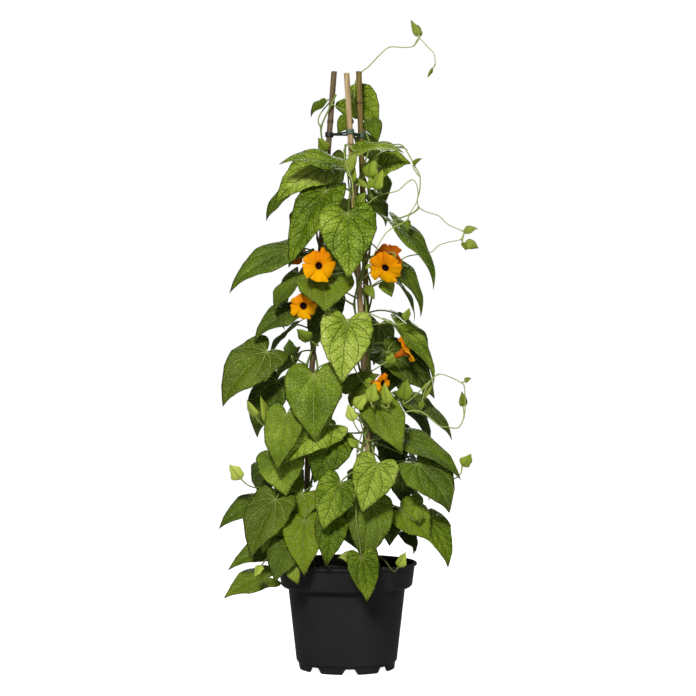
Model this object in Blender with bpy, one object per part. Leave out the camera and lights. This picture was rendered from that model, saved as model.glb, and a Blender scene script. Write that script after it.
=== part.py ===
# A potted black-eyed susan vine on three bamboo canes tied by a clip, in a black nursery pot.
# Lengths are metres and +Z is up. The pot stands on z = 0 round the Z axis, and the front looks along -Y.
import math
import random

import bmesh
import bpy
import numpy as np
from mathutils import Vector, noise
from mathutils.bvhtree import BVHTree

for old in list(bpy.data.objects):
    bpy.data.objects.remove(old, do_unlink=True)

MM = 0.001
GAP = 0.3 * MM  # air between neighbouring pieces
DRAW = random.Random(7)

# Pot: a turned wall with a banded rim, a foot ring and drain notches
POT_HEIGHT = 132 * MM
LIP_RADIUS = 88 * MM
BAND_RADIUS = 85.2 * MM
BAND_LOW_RADIUS = 82 * MM
BODY_RADIUS = 73.2 * MM  # just under the band
BODY_LOW_RADIUS = 62.8 * MM
FOOT_RADIUS = 59.8 * MM
BAND_BOTTOM = 101.5 * MM
SHOULDER = 10.5 * MM  # where the body steps in to the foot ring
POT_FLOOR = 8 * MM
WALL = 1.5 * MM
POT_SIDES = 32
NOTCH_COUNT = 8
NOTCH_TURN = 4  # degrees to the right of straight ahead
NOTCH_WIDTH = 20 * MM
NOTCH_TOP_WIDTH = 11 * MM
NOTCH_HEIGHT = 6.8 * MM
NOTCH_DEPTH = 9 * MM  # how far the notch's sides run in and out from the foot ring's face
LIP_HEIGHT = 3.4 * MM
LIP_BEVEL = 0.5 * MM
BAND_CORNER = 2.8 * MM  # the band's rounded lower corner
FOOT_WALL = 2.5 * MM
FOOT_FLARE = 0.8 * MM

# Soil: fills the pot to a little under the rim, uneven on top
SOIL_LEVEL = 118 * MM
SOIL_GAP = 0.35 * MM
SOIL_MOUND = 1.5 * MM
SOIL_BUMP = 1.8 * MM
SOIL_GRAIN = 60  # bumps to the metre
SOIL_EDGE = 75 * MM  # the bumps stop short of the wall
STEM_HOLE_SIDES = 6

# Canes: straight above, bowed in at the foot so that they stand upright in the pot
CANE_RADIUS = 3.5 * MM
CANE_KNOT = 0.6 * MM  # how far a knot stands out
CANE_SIDES = 6
CANE_BOTTOM = 30 * MM
KNOT_SPACING = 118 * MM
CLIP_HEIGHT = 666.5 * MM
BOW_TOP = 420 * MM
BOW = 21.5 * MM
KNOT_HALF = 3 * MM
KNOT_MARGIN = 12 * MM  # no knot nearer than this to a cane's top
# name, top height, straight foot on the soil, place at the clip, first knot, colour
CANES = [
    ("cane_left", 746, (-63.0, 0.0), (-21.8, 7.9), 92, (0.16, 0.075, 0.035)),
    ("cane_front", 740, (36.0, -57.2), (4.2, -22.9), 60, (0.40, 0.27, 0.13)),
    ("cane_back", 746, (36.0, 57.2), (17.8, 15.1), 116, (0.085, 0.042, 0.024)),
]

# Stems: two to each cane, twining the same way half a turn apart
STEM_RADIUS = 1.6 * MM
STEM_SIDES = 4
STEM_STEP = 20 * MM
STEM_FOOT = 106 * MM
STEM_TAPER = 0.35
STEM_LENGTH = 620 * MM
TWINE_RADIUS = 7.6 * MM
TWINE_PITCH = 122 * MM
FOOT_SPREAD = 5 * MM  # how much wider a stem turns at the soil
FOOT_SPREAD_TOP = 60 * MM
CLIP_SPREAD = 4.5 * MM  # how much wider it turns past the clip
CLIP_SPREAD_HALF = 34 * MM
FIRST_JOINT = 38 * MM
JOINT_STAGGER = 9 * MM
JOINT_SPACING = 28 * MM
# cane, height reached, turn at the clip away from straight outward, in degrees
STEMS = [(0, 716, 0), (0, 640, 180), (1, 650, 0), (1, 596, 180), (2, 716, 0), (2, 622, 180)]

# Leaves: half outline as (along the midrib, share of the half width), from the stalk round to the tip
LEAF_HALF = [(-0.12, 0.25), (-0.18, 0.6), (-0.07, 0.92), (0.14, 1.0), (0.36, 0.94), (0.6, 0.68), (0.83, 0.28)]
LEAF_SPINE = [0.0, 0.34, 0.7, 1.0]
YOUNG_HALF = [(-0.03, 0.5), (0.16, 1.0), (0.48, 0.88), (0.8, 0.38)]
YOUNG_SPINE = [0.0, 0.3, 0.66, 1.0]
YOUNG_WIDTH = 32 * MM  # a leaf narrower than this has the simpler outline
LEAF_ARCH = 0.07  # rise of the midrib between its ends, as a share of its length
LEAF_BOW = 0.10  # how far a blade that reaches out level sags to its tip in its own plane
LEAF_FOLD = 0.10  # lift of the margins, as a share of the half width
LEAF_THICK = 1.5 * MM  # at the midrib, thinning to the margins
STALK_RADIUS = 1.0 * MM
YOUNG_STALK_RADIUS = 0.8 * MM
SHORTEST_STALK = 4 * MM
ROOT_ROOM = 4.2 * MM  # a stalk's first stretch, where it may touch what grows beside it
CROWDING = 9 * MM  # counts against a joint for each stalk that it bears
JOINTS_TRIED = 70
SHOOT_REACH = 40 * MM  # the furthest that something grows from a shoot's joint
STALK_SIDES = 3
STALK_TURN = -30  # puts a stalk's corners right, left and under the blade
STALK_STEPS = [(25 * MM, 2), (55 * MM, 3), (1.0, 4)]  # steps of a stalk up to each length
POD_SIDES = 4
POD_ROOM_SIDES = 8  # the room holds the pod however it is turned
POD_SHARES = [0.0, 0.24, 0.6, 1.0]
POD_GIRTHS = [0.25, 0.9, 1.0]
POD_TIP = 0.16
CLEARANCE = 0.5 * MM
PUSH = 2 * MM
PUSH_LIMIT = 17
LEAF_WAYS = (0.7, 1.6, 0.2, 4.0)  # how far a stalk leans to a leaf's face where it meets the blade
POD_WAY = 0.8  # how far it may lean to any side where it meets a pod
STALK_BENDS = (0.35, 0.6, 0.2)
STALK_RISES = (0.0, 0.7, -0.7)
STALK_PULL = 0.8  # how far a stalk leaves its stem toward its end, against straight out
BACK_LINE = 10 * MM  # what lies behind this is pushed outward, and what lies before it forward

# name, stalk end, tip, width, turn to the right and lean upward in degrees, lengths in mm
LEAVES = [
    ("top_round", (1, 26, 716), (39, 28, 684), 50, -5, 15),
    ("top_between", (3, 4, 688), (-11, 2, 667), 21, -10, 15),
    ("top_low", (24, 20, 688), (34, 16, 658), 24, 10, 15),
    ("top_left", (-20, 14, 711), (-41, 13, 690), 21, -20, 55),
    ("right_thin", (46, -5, 646), (77, -8, 647), 25, 20, 75),
    ("right_round", (44, -20, 624), (79, -30, 628), 38, 10, 30),
    ("right_top", (12, -28, 641), (70, -38, 640), 42, 0, 62),
    ("back_tip", (-72, 8, 597), (-103, 12, 559), 24, -40, 20),
    ("upper_left", (-27, -18, 624), (-88, -42, 578), 56, -14, 30),
    ("arm_left", (-3, -28, 620), (-82, -48, 627), 47, 0, 55),
    ("right_dark", (28, -15, 588), (51, -20, 551), 35, 50, 20),
    ("long_left_low", (-67, -25, 519), (-146, -32, 469), 46, -10, 42),
    ("long_left", (-25, -40, 592), (-70, -64, 498), 52, -15, 20),
    ("heart_top", (1, -62, 562), (4, -82, 482), 69, 0, 12),
    ("right_long", (59, -30, 553), (112, -38, 473), 47, 55, 30),
    ("right_long_low", (57, -20, 506), (96, -26, 439), 42, 55, 25),
    ("under_bloom", (-28, -62, 484), (-25, -90, 443), 72, 5, 25),
    ("small_left", (-61, -40, 484), (-90, -50, 443), 40, -45, 30),
    ("dip_left", (-62, -36, 446), (-116, -42, 408), 44, -25, 45),
    ("darkest_left", (-86, -18, 358), (-115, -26, 290), 55, -25, 15),
    ("big_left", (-98, -38, 394), (-155, -54, 331), 62, -5, 30),
    ("heart_middle", (1, -76, 432), (-7, -96, 356), 64, 0, 14),
    ("behind_heart", (4, -40, 343), (40, -46, 367), 34, 20, 30),
    ("right_arm", (61, -30, 428), (112, -38, 356), 47, 58, 30),
    ("right_big", (50, -22, 394), (110, -30, 338), 57, 30, 22),
    ("heart_low", (-39, -72, 367), (-40, -92, 286), 72, -5, 12),
    ("fold_left", (-72, -60, 319), (-84, -78, 252), 50, -15, 15),
    ("fold_right", (-21, -70, 306), (-75, -88, 259), 51, 0, 25),
    ("right_bright", (35, -70, 332), (66, -86, 271), 50, 10, 15),
    ("right_dark_long", (72, -22, 337), (105, -28, 278), 37, 55, 12),
    ("right_side", (76, -50, 335), (132, -54, 289), 39, 45, 40),
    ("right_middle", (71, -48, 288), (141, -54, 239), 44, 38, 38),
    ("right_arrow", (86, -58, 258), (128, -68, 201), 66, 18, 25),
    ("dark_left", (-98, -20, 252), (-109, -28, 219), 40, -30, 10),
    ("plate_left", (-81, -56, 268), (-75, -76, 219), 61, -10, 20),
    ("plate_middle", (-16, -64, 292), (-38, -80, 236), 58, 0, 15),
    ("dark_inside", (68, -25, 248), (68, -30, 206), 42, 15, 10),
    ("left_dark", (-106, -20, 208), (-159, -30, 177), 36, -20, 35),
    ("left_under", (-54, -55, 221), (-104, -64, 146), 54, -10, 20),
    ("left_front", (-86, -70, 215), (-118, -86, 147), 56, -10, 22),
    ("light_right", (37, -86, 260), (17, -106, 202), 55, 8, 14),
    ("centre_blade", (-7, -80, 237), (-31, -98, 182), 51, 5, 18),
    ("low_right", (29, -72, 211), (20, -92, 139), 57, 5, 10),
    ("low_centre", (-17, -72, 195), (-25, -92, 137), 41, 0, 10),
    ("dark_low", (50, -40, 197), (53, -50, 157), 39, 10, 10),
    ("right_lit", (66, -50, 201), (102, -60, 164), 51, 10, 30),
    ("right_low", (100, -40, 189), (127, -50, 131), 42, 32, 20),
    ("dark_low_right", (68, -30, 172), (87, -36, 149), 24, 40, 20),
    ("low_left", (-51, -62, 190), (-52, -84, 126), 51, -5, 14),
    ("low_left_two", (-72, -66, 160), (-87, -84, 119), 41, -5, 20),
    ("left_low", (-76, -44, 157), (-146, -54, 128), 42, -5, 48),
    ("bottom_left", (-96, -46, 118), (-150, -58, 94), 39, 0, 45),
    ("over_rim", (18, -94, 149), (26, -99, 95), 38, 5, 6),
    ("inner_top", (-21, -10, 459), (-43, -14, 396), 44, -10, 20),
    ("inner_right", (66, -8, 396), (48, -12, 340), 42, 15, 20),
    ("inner_left", (-46, -20, 336), (-58, -26, 284), 42, -15, 15),
    ("inner_side", (60, -15, 296), (48, -20, 234), 44, 20, 15),
    ("inner_low", (-2, -40, 224), (10, -48, 153), 46, 0, 12),
    ("young_fold", (9, -56, 602), (29, -60, 592), 13, 10, 40),
    ("young_start", (82, -38, 625), (93, -40, 632), 7, 0, 30),
    ("young_bright", (12, -60, 570), (24, -62, 590), 15, 0, 20),
    ("young_up", (1, -46, 614), (13, -48, 638), 14, 10, 15),
    ("young_fold_two", (24, -54, 474), (34, -56, 458), 12, 0, 20),
    ("young_right", (95, -30, 262), (134, -36, 241), 17, 30, 50),
    ("young_middle", (46, -56, 480), (55, -62, 461), 20, 5, 10),
    ("young_low", (10, -90, 144), (-11, -96, 148), 17, 0, 20),
    ("young_left", (-68, -86, 135), (-58, -94, 114), 18, 0, 10),
    ("young_tip", (89, -3, 789), (80, -4, 809), 9, -20, 20),
    ("young_tip_two", (92, 2, 790), (88, 4, 805), 8, 40, 20),
    ("young_loop", (146, -23, 542), (163, -22, 547), 14, 0, 45),
    ("young_reach", (146, -27, 527), (163, -28, 522), 15, 0, 20),
    ("young_reach_two", (143, -29, 529), (147, -32, 519), 6, 0, 10),
    ("young_side", (143, -46, 328), (141, -48, 346), 11, 10, 10),
    ("young_side_two", (145, -46, 358), (153, -46, 362), 7, 0, 30),
    ("young_hang", (100, -61, 355), (94, -62, 335), 12, -20, 10),
]

# Bud pods, each two bracts shut round a bud: stalk end, tip, width, in mm
PODS = [
    ((-44, -58, 408), (-61, -62, 422), 20),
    ((-68, -35, 390), (-71, -38, 410), 16),
    ((-110, -58, 314), (-122, -62, 336), 14),
    ((-94, -60, 306), (-105, -64, 341), 16),
    ((35, -42, 591), (44, -44, 617), 22),
    ((27, -34, 608), (32, -34, 635), 20),
    ((8, -45, 600), (10, -46, 620), 11),
    ((10, -82, 327), (24, -84, 344), 16),
    ((8, -86, 311), (1, -88, 331), 12),
    ((29, -88, 334), (33, -90, 358), 15),
    ((50, -86, 331), (45, -90, 357), 14),
    ((69, -55, 335), (74, -58, 361), 18),
    ((89, -64, 189), (85, -68, 207), 13),
    ((62, -92, 136), (71, -92, 154), 15),
    ((142, -40, 254), (153, -42, 269), 14),
    ((-129, -52, 239), (-143, -54, 257), 15),
    ((-102, -90, 138), (-111, -92, 124), 13),
    ((-25, -4, 644), (-36, -4, 661), 16),
    ((13, -78, 280), (1, -80, 290), 11),
    ((71, -52, 433), (77, -54, 448), 9),
    ((75, -50, 556), (75, -50, 543), 7),
    ((28, -84, 500), (22, -84, 494), 7),
    ((107, -11, 747), (100, -13, 735), 6),
    ((92, -62, 334), (90, -62, 323), 7),
    ((28, -46, 594), (30, -46, 608), 9),
]

# Blooms: centre in mm, turn to the right and lean upward in degrees, radius in mm
BLOOMS = [
    ((-33, -92, 498), 20, 5, 21),
    ((46, -90, 495), -28, -27, 21),
    ((52, -46, 508), 150, 20, 20),
    ((-53, -47, 450), -15, -10, 17),
    ((-62, -22, 517), -125, 5, 16),
    ((74, -62, 397), 80, 30, 18),
    ((44, -66, 356), 50, 0, 12),
    ((10, 86, 408), 168, 5, 20),
    ((-44, 84, 352), -155, 0, 20),
    ((6, 80, 540), 178, 8, 19),
]
THROAT_RADIUS = 4.6 * MM
THROAT_DEPTH = 8 * MM
BLOOM_TUBE = 17 * MM
THROAT_WAIST = 0.72
EYE_SIDES = 8
TUBE_RADIUS = 3.4 * MM
TUBE_COLLAR = 1.6 * MM
PETAL_CREST = 0.6  # share of the radius where a petal stands highest
PETAL_RISE = 0.7 * MM
PETAL_FALL = 1.2 * MM
PETAL_BACK = 2.8 * MM
CUP_LENGTH = 13 * MM
CUP_WIDTH = 11 * MM
CUP_MOUTH = 0.7
BLOOM_SIDES = 15
RIM_SHARE = [0.74, 1.0, 1.0]  # notch and two shoulders of each of the five petals

# Free shoots, root first, in mm
SHOOTS = [
    [(9, 8, 714), (11, 17, 734), (19, 24, 747), (28, 22, 754), (40, 16, 766), (53, 10, 776), (71, 4, 775),
     (83, 0, 776), (90, -2, 785), (101, -6, 774), (109, -9, 764), (110, -10, 752)],
    [(84, -34, 623), (90, -36, 611), (90, -36, 594), (87, -34, 581), (89, -32, 573), (96, -30, 568),
     (114, -28, 562), (125, -26, 552), (143, -24, 544)],
    [(18, -46, 569), (31, -48, 580), (42, -46, 587), (62, -42, 592), (74, -42, 602), (82, -46, 605),
     (87, -47, 594), (86, -48, 579), (77, -50, 563)],
    [(70, -70, 552), (51, -80, 541), (41, -84, 528), (31, -84, 508)],
    [(66, -36, 507), (78, -30, 513), (103, -26, 517), (116, -26, 527), (141, -27, 533)],
    [(97, -66, 318), (112, -64, 305), (122, -58, 303), (136, -52, 302), (143, -46, 314), (145, -44, 329),
     (144, -44, 350), (141, -45, 356), (125, -50, 364), (112, -56, 367), (102, -60, 359)],
    [(14, -44, 318), (20, -48, 298), (27, -54, 276), (31, -60, 258)],
    [(26, -40, 316), (19, -46, 296), (13, -50, 274), (12, -56, 256)],
    [(8, -66, 584), (6, -64, 602), (-1, -60, 622), (-4, -56, 640)],
]
SHOOT_RADIUS = 0.9 * MM

# Foliage on the back and the flanks, set out in rows by a rule
ROW_HEIGHTS = [140, 190, 240, 290, 340, 390, 440, 490, 540, 590, 640]
ROW_REACH = [112, 121, 123, 123, 120, 114, 108, 100, 88, 72, 54]
ROW_LEAVES = [5, 4, 4, 4, 4, 4, 4, 3, 3, 3, 1]
BACK_ARC = (-28, 208)  # degrees from +X, turning by way of +Y
BACK_STRAY = 8  # degrees
BACK_LENGTH = (56, 78)
BACK_WIDTH = 0.74  # of the length
BACK_FALL = (48, 68)  # degrees below level
BACK_SWING = 22
BACK_DROP = (0, -20)
BACK_NEAR = 0.86  # the nearest that a tip stays, as a share of its row's reach
SMALL_ABOVE = 560
SMALL_SHARE = 0.75
BACK_SHIFTS = (0, 14, -14, 28, -28)
BACK_START = 8 * MM
BACK_PUSHES = 9
BACK_OPEN = ["back_3_2", "back_4_2", "back_5_2", "back_6_1", "back_7_0", "back_7_2"]

# Clip: an eyelet round each cane, and slim bars between them
CLIP_WALL = 1.9 * MM
CLIP_HALF = 4 * MM
CLIP_SIDES = 10
CLIP_BAR = 1.4 * MM
CLIP_BAR_SIDES = 6


def material(name, colour, roughness):
    made = bpy.data.materials.new(name)
    made.use_nodes = True
    shader = made.node_tree.nodes["Principled BSDF"]
    shader.inputs["Base Color"].default_value = (*colour, 1.0)
    shader.inputs["Roughness"].default_value = roughness
    made.diffuse_color = (*colour, 1.0)
    return made


# One closed body as a named object, its faces turned outward
def solid(name, shape, coat=None, smooth=False):
    mesh = bpy.data.meshes.new(name)
    mesh.from_pydata([tuple(v) for v in shape[0]], [], shape[1])
    work = bmesh.new()
    work.from_mesh(mesh)
    bmesh.ops.recalc_face_normals(work, faces=work.faces)
    if work.calc_volume(signed=True) < 0:
        bmesh.ops.reverse_faces(work, faces=work.faces)
    work.to_mesh(mesh)
    work.free()
    body = bpy.data.objects.new(name, mesh)
    bpy.context.scene.collection.objects.link(body)
    if coat:
        mesh.materials.append(coat)
    if smooth:
        mesh.shade_smooth()
        mesh.set_sharp_from_angle(angle=math.radians(40))
    return body


# Keeps what a body's modifiers make of it, and drops the modifiers
def apply_modifiers(body):
    graph = bpy.context.evaluated_depsgraph_get()
    made = bpy.data.meshes.new_from_object(body.evaluated_get(graph))
    body.modifiers.clear()
    body.data = made


# Cuts a list of closed shapes out of a body
def cut(body, shapes):
    for number, shape in enumerate(shapes):
        cutter = solid(f"cutter_{number}", shape)
        cutter.hide_render = True
        cutter.display_type = "WIRE"
        boolean = body.modifiers.new("cut", "BOOLEAN")
        boolean.operation = "DIFFERENCE"
        boolean.object = cutter
        apply_modifiers(body)
        bpy.data.objects.remove(cutter, do_unlink=True)


# Joins closed shapes that cross each other into one body, by one union on a collection
def union(name, shapes, coat, solver="EXACT"):
    body = solid(name, shapes[0], coat)
    group = bpy.data.collections.new(name)
    bpy.context.scene.collection.children.link(group)
    for number, shape in enumerate(shapes[1:]):
        piece = solid(f"{name}_{number}", shape, coat)
        bpy.context.scene.collection.objects.unlink(piece)
        group.objects.link(piece)
    boolean = body.modifiers.new("join", "BOOLEAN")
    boolean.operation = "UNION"
    boolean.solver = solver
    boolean.operand_type = "COLLECTION"
    boolean.collection = group
    apply_modifiers(body)
    for piece in list(group.objects):
        bpy.data.objects.remove(piece, do_unlink=True)
    bpy.data.collections.remove(group)
    body.data.materials.clear()
    body.data.materials.append(coat)
    body.data.polygons.foreach_set("material_index", [0] * len(body.data.polygons))


# A shape turned round Z from a profile of (radius, height) that starts and ends on the axis
def turned(profile, sides):
    verts = []
    rows = []
    for radius, height in profile:
        count = sides if radius > 0 else 1
        rows.append(range(len(verts), len(verts) + count))
        for k in range(count):
            angle = math.tau * k / sides
            verts.append((radius * math.cos(angle), radius * math.sin(angle), height))
    faces = []
    for low, high in zip(rows, rows[1:]):
        for k in range(sides):
            corners = [low[k % len(low)], low[(k + 1) % len(low)], high[(k + 1) % len(high)], high[k % len(high)]]
            faces.append(tuple(dict.fromkeys(corners)))
    return np.array(verts), faces


# Directions across a path at each of its points, carried along without twist
def path_frames(points, side=None):
    steps = np.gradient(points, axis=0)
    steps /= np.linalg.norm(steps, axis=1)[:, None]
    if side is None:
        side = np.cross(steps[0], (0.0, 0.0, 1.0) if abs(steps[0][2]) < 0.8 else (1.0, 0.0, 0.0))
    sides = []
    for step in steps:
        side = side - step * np.dot(side, step)
        side /= np.linalg.norm(side)
        sides.append(side)
    sides = np.array(sides)
    return sides, np.cross(steps, sides)


# A closed tube along points, with a radius at each of them
def tube(points, radii, sides, side=None, turn=0.0):
    points = np.array(points, dtype=float)
    across, up = path_frames(points, side)
    radii = np.broadcast_to(radii, len(points))
    angles = np.arange(sides) * math.tau / sides + math.radians(turn)
    ring = np.cos(angles)[None, :, None] * across[:, None, :] + np.sin(angles)[None, :, None] * up[:, None, :]
    verts = (points[:, None, :] + ring * radii[:, None, None]).reshape(-1, 3)
    faces = [tuple(range(sides)), tuple(range(len(verts) - sides, len(verts)))]
    for row in range(len(points) - 1):
        for k in range(sides):
            a = row * sides + k
            b = row * sides + (k + 1) % sides
            faces += [(a, b, b + sides), (a, b + sides, a + sides)]
    return verts, faces


def unit(vector):
    return vector / np.linalg.norm(vector)


# Where something turned to the right and leant upward looks, from the front
def facing(turn, lean):
    turn = math.radians(turn)
    lean = math.radians(lean)
    return np.array((math.sin(turn) * math.cos(lean), -math.cos(turn) * math.cos(lean), math.sin(lean)))


# The middle line of a leaf: straight from stalk to tip, lifted by an arc off the face and by one in the plane
def midrib(leaf, share):
    span = leaf["tip"] - leaf["base"]
    across = np.cross(leaf["normal"], unit(span))
    lift = leaf["normal"] * LEAF_ARCH + across * across[2] * abs(across[2]) * LEAF_BOW
    return leaf["base"] + span * share + lift * 4 * share * (1 - share) * np.linalg.norm(span)


# Corners and triangles of a leaf blade, the same triangles on both faces. The corners are the tip, the rim on the
# right and on the left, then the midrib's upper and lower points. Above, the halves start from the stalk's right
# and left corners, and below from the one under them.
def blade(leaf, swell, right, left, under, first):
    half = LEAF_HALF if leaf["width"] > YOUNG_WIDTH else YOUNG_HALF
    spine = LEAF_SPINE if leaf["width"] > YOUNG_WIDTH else YOUNG_SPINE
    across = np.cross(leaf["normal"], unit(leaf["tip"] - leaf["base"]))
    wide = leaf["width"] / 2
    corners = [midrib(leaf, 1)]
    for sign in (1, -1):
        for share, out in half:
            lift = leaf["normal"] * out * wide * LEAF_FOLD
            corners.append(midrib(leaf, share) + across * sign * out * (wide + swell) + lift)
    core = leaf["normal"] * (LEAF_THICK / 2 + swell)
    inner = [midrib(leaf, share) for share in spine[1:-1]]
    corners += [point + core for point in inner] + [point - core for point in inner]
    faces = []
    for face in range(2):
        spine_ids = [first + 1 + 2 * len(half) + face * len(inner) + k for k in range(len(inner))]
        for side, start in enumerate((right, left) if face == 0 else (under, under)):
            middle = [start] + spine_ids + [first]
            outer = [first + 1 + side * len(half) + k for k in range(len(half))]
            i = 0
            j = 0
            while i < len(spine) - 1:
                if j < len(half) - 1 and half[j + 1][0] <= spine[i + 1]:
                    faces.append((middle[i], outer[j], outer[j + 1]))
                    j += 1
                else:
                    faces.append((middle[i], outer[j], middle[i + 1]))
                    i += 1
    return corners, faces


# A slab that holds a blade with some air all round, for measuring the room that it needs
def blade_room(leaf, swell):
    lower = dict(leaf)
    level = leaf["normal"] * swell
    lower["base"] = leaf["base"] - unit(leaf["tip"] - leaf["base"]) * swell - level
    lower["tip"] = leaf["tip"] + unit(leaf["tip"] - leaf["base"]) * swell - level
    upper = dict(lower)
    upper["base"] = lower["base"] + 2 * level
    upper["tip"] = lower["tip"] + 2 * level
    verts = []
    faces = []
    for layer in (lower, upper):
        root = len(verts)
        corners, triangles = blade(layer, swell, root, root, root, root + 1)
        stalk = leaf["normal"] * STALK_RADIUS * (-1 if layer is lower else 1)
        verts += [midrib(layer, 0) + stalk] + corners
        faces += triangles
    return np.array(verts), faces


# A whole leaf in one body: its stalk from the stem, whose last ring is right, left and under the blade's root
def leaf_body(leaf, stalk, radius):
    across = np.cross(leaf["normal"], unit(leaf["tip"] - leaf["base"]))
    verts, faces = tube(stalk[::-1], radius, STALK_SIDES, across, STALK_TURN)
    right, under, left = 0, 1, 2
    tip = len(verts)
    corners, triangles = blade(leaf, 0.0, right, left, under, tip)
    rim = len(LEAF_HALF) if leaf["width"] > YOUNG_WIDTH else len(YOUNG_HALF)
    joins = [(right, left, tip + 1 + 2 * rim), (right, under, tip + 1), (under, left, tip + 1 + rim)]
    return np.concatenate((verts, corners)), faces[1:] + triangles + joins


# A pod: a spindle with a blunt stalk end and a pointed tip, or cut off flat where a bloom leaves it
def pod(item, swell=0.0, stalk=None, radius=0.0):
    points = [item["base"] + (item["tip"] - item["base"]) * share for share in POD_SHARES]
    radii = [girth * item["width"] / 2 + swell for girth in POD_GIRTHS + [item["end"]]]
    if stalk is not None:
        points = list(stalk[:-1]) + points
        radii = [radius] * len(stalk) + radii[1:]
    return tube(points, radii, POD_SIDES if stalk is not None else POD_ROOM_SIDES)


# A bloom: five petals round a throat, and a tube behind, as rings along its axis
def corolla(item, swell=0.0):
    radius = item["width"]
    out = item["normal"]
    right = unit(np.cross(np.array((0.0, 0.0, 1.0)), out))
    up = np.cross(out, right)
    angles = math.radians(18) + np.arange(BLOOM_SIDES) * math.tau / BLOOM_SIDES
    spokes = np.cos(angles)[:, None] * right + np.sin(angles)[:, None] * up
    shares = np.array(RIM_SHARE * 5)
    back = np.array([0.0, -PETAL_FALL, -PETAL_FALL] * 5)
    flat = np.ones(BLOOM_SIDES)
    rings = [
        (flat * THROAT_RADIUS * THROAT_WAIST, flat * -THROAT_DEPTH),
        (flat * THROAT_RADIUS, flat * -2 * GAP),
        (flat * radius * PETAL_CREST, flat * PETAL_RISE),
        (shares * radius + swell, back),
        (flat * (THROAT_RADIUS + TUBE_COLLAR) + swell, flat * -PETAL_BACK - swell),
        (flat * TUBE_RADIUS + swell, flat * -BLOOM_TUBE),
    ]
    verts = []
    for reach, depth in rings:
        verts.append(item["centre"] + spokes * reach[:, None] + out * depth[:, None])
    verts = np.concatenate(verts)
    faces = [tuple(range(BLOOM_SIDES)), tuple(range(len(verts) - BLOOM_SIDES, len(verts)))]
    for row in range(len(rings) - 1):
        for k in range(BLOOM_SIDES):
            a = row * BLOOM_SIDES + k
            b = row * BLOOM_SIDES + (k + 1) % BLOOM_SIDES
            faces.append((a, b, b + BLOOM_SIDES, a + BLOOM_SIDES))
    return verts, faces


# The dark lining of a throat: a dished plug that stands off the recess all round
def eye(item):
    out = item["normal"]
    sides = EYE_SIDES
    inside = math.cos(math.pi / BLOOM_SIDES)
    depths = [-THROAT_DEPTH + GAP, -3 * GAP, -0.56 * THROAT_DEPTH]
    reaches = [THROAT_RADIUS * THROAT_WAIST * inside - GAP, THROAT_RADIUS * inside - 1.3 * GAP]
    right = unit(np.cross(np.array((0.0, 0.0, 1.0)), out))
    up = np.cross(out, right)
    verts = []
    for reach, depth in zip(reaches, depths):
        for k in range(sides):
            angle = math.tau * k / sides
            verts.append(item["centre"] + (right * math.cos(angle) + up * math.sin(angle)) * reach + out * depth)
    verts.append(item["centre"] + out * depths[2])
    faces = [tuple(range(sides))]
    for k in range(sides):
        following = (k + 1) % sides
        faces.append((k, following, sides + following, sides + k))
        faces.append((sides + k, sides + following, 2 * sides))
    return np.array(verts), faces


# Centre of a cane at a height: a straight line from the foot past the clip, bowed in below
def cane_point(cane, height):
    foot = np.array(cane[2]) * MM
    hold = np.array(cane[3]) * MM
    place = foot + (hold - foot) * (height - SOIL_LEVEL) / (CLIP_HEIGHT - SOIL_LEVEL)
    bow = BOW * max(0.0, (BOW_TOP - height) / (BOW_TOP - CANE_BOTTOM)) ** 2
    place = place - unit(foot) * bow
    return np.array((place[0], place[1], height))


def cane_shape(cane, radius=CANE_RADIUS, bottom=CANE_BOTTOM):
    top = cane[1] * MM
    rows = [(bottom, 0.0), (top, 0.0)]
    knot = cane[4] * MM
    while knot < top - KNOT_MARGIN:
        rows += [(knot - KNOT_HALF, 0.0), (knot, CANE_KNOT), (knot + KNOT_HALF, 0.0)]
        knot += KNOT_SPACING
    rows.sort()
    points = [cane_point(cane, height) for height, _ in rows]
    return tube(points, [radius + out for _, out in rows], CANE_SIDES)


# Centre of a stem at a height: a helix round its cane, wider at the soil and past the clip
def stem_point(stem, height):
    cane = CANES[stem[0]]
    outward = math.atan2(cane[3][1], cane[3][0])
    angle = outward + math.radians(stem[2]) + math.tau * (height - CLIP_HEIGHT) / TWINE_PITCH
    foot = max(0.0, 1 - (height - STEM_FOOT) / FOOT_SPREAD_TOP)
    clip = max(0.0, 1 - abs(height - CLIP_HEIGHT) / CLIP_SPREAD_HALF)
    radius = TWINE_RADIUS + FOOT_SPREAD * foot ** 2 + CLIP_SPREAD * clip ** 0.7
    centre = cane_point(cane, height)
    return centre + radius * np.array((math.cos(angle), math.sin(angle), 0.0))


def stem_heights(stem):
    steps = round((stem[1] * MM - STEM_FOOT) / STEM_STEP)
    return np.linspace(STEM_FOOT, stem[1] * MM, steps + 1)


# A point on the straight stretches that the stem's solid is made of
def on_stem(stem, height):
    heights = stem_heights(stem)
    points = np.array([stem_point(stem, h) for h in heights])
    return np.array([np.interp(height, heights, points[:, axis]) for axis in range(3)])


def stem_shape(stem, swell=0.0):
    heights = stem_heights(stem)
    taper = 1 - STEM_TAPER * (heights - STEM_FOOT) / STEM_LENGTH
    return tube([stem_point(stem, h) for h in heights], STEM_RADIUS * taper + swell, STEM_SIDES)


placed = []  # what already takes up room: owner, the stem that bears it, surface tree, lowest and highest corner


def take_room(owner, shape, stem=None):
    verts = np.array(shape[0])
    tree = BVHTree.FromPolygons(verts.tolist(), shape[1])
    placed.append((owner, stem, tree, verts.min(axis=0), verts.max(axis=0)))


def is_clear(shape, ignored=(), same_stem="none"):
    verts = np.array(shape[0])
    low = verts.min(axis=0)
    high = verts.max(axis=0)
    tree = None
    for owner, stem, other, other_low, other_high in placed:
        if owner in ignored or stem == same_stem or (low > other_high).any() or (high < other_low).any():
            continue
        tree = tree or BVHTree.FromPolygons(verts.tolist(), shape[1])
        if tree.overlap(other):
            return False
    return True


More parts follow.
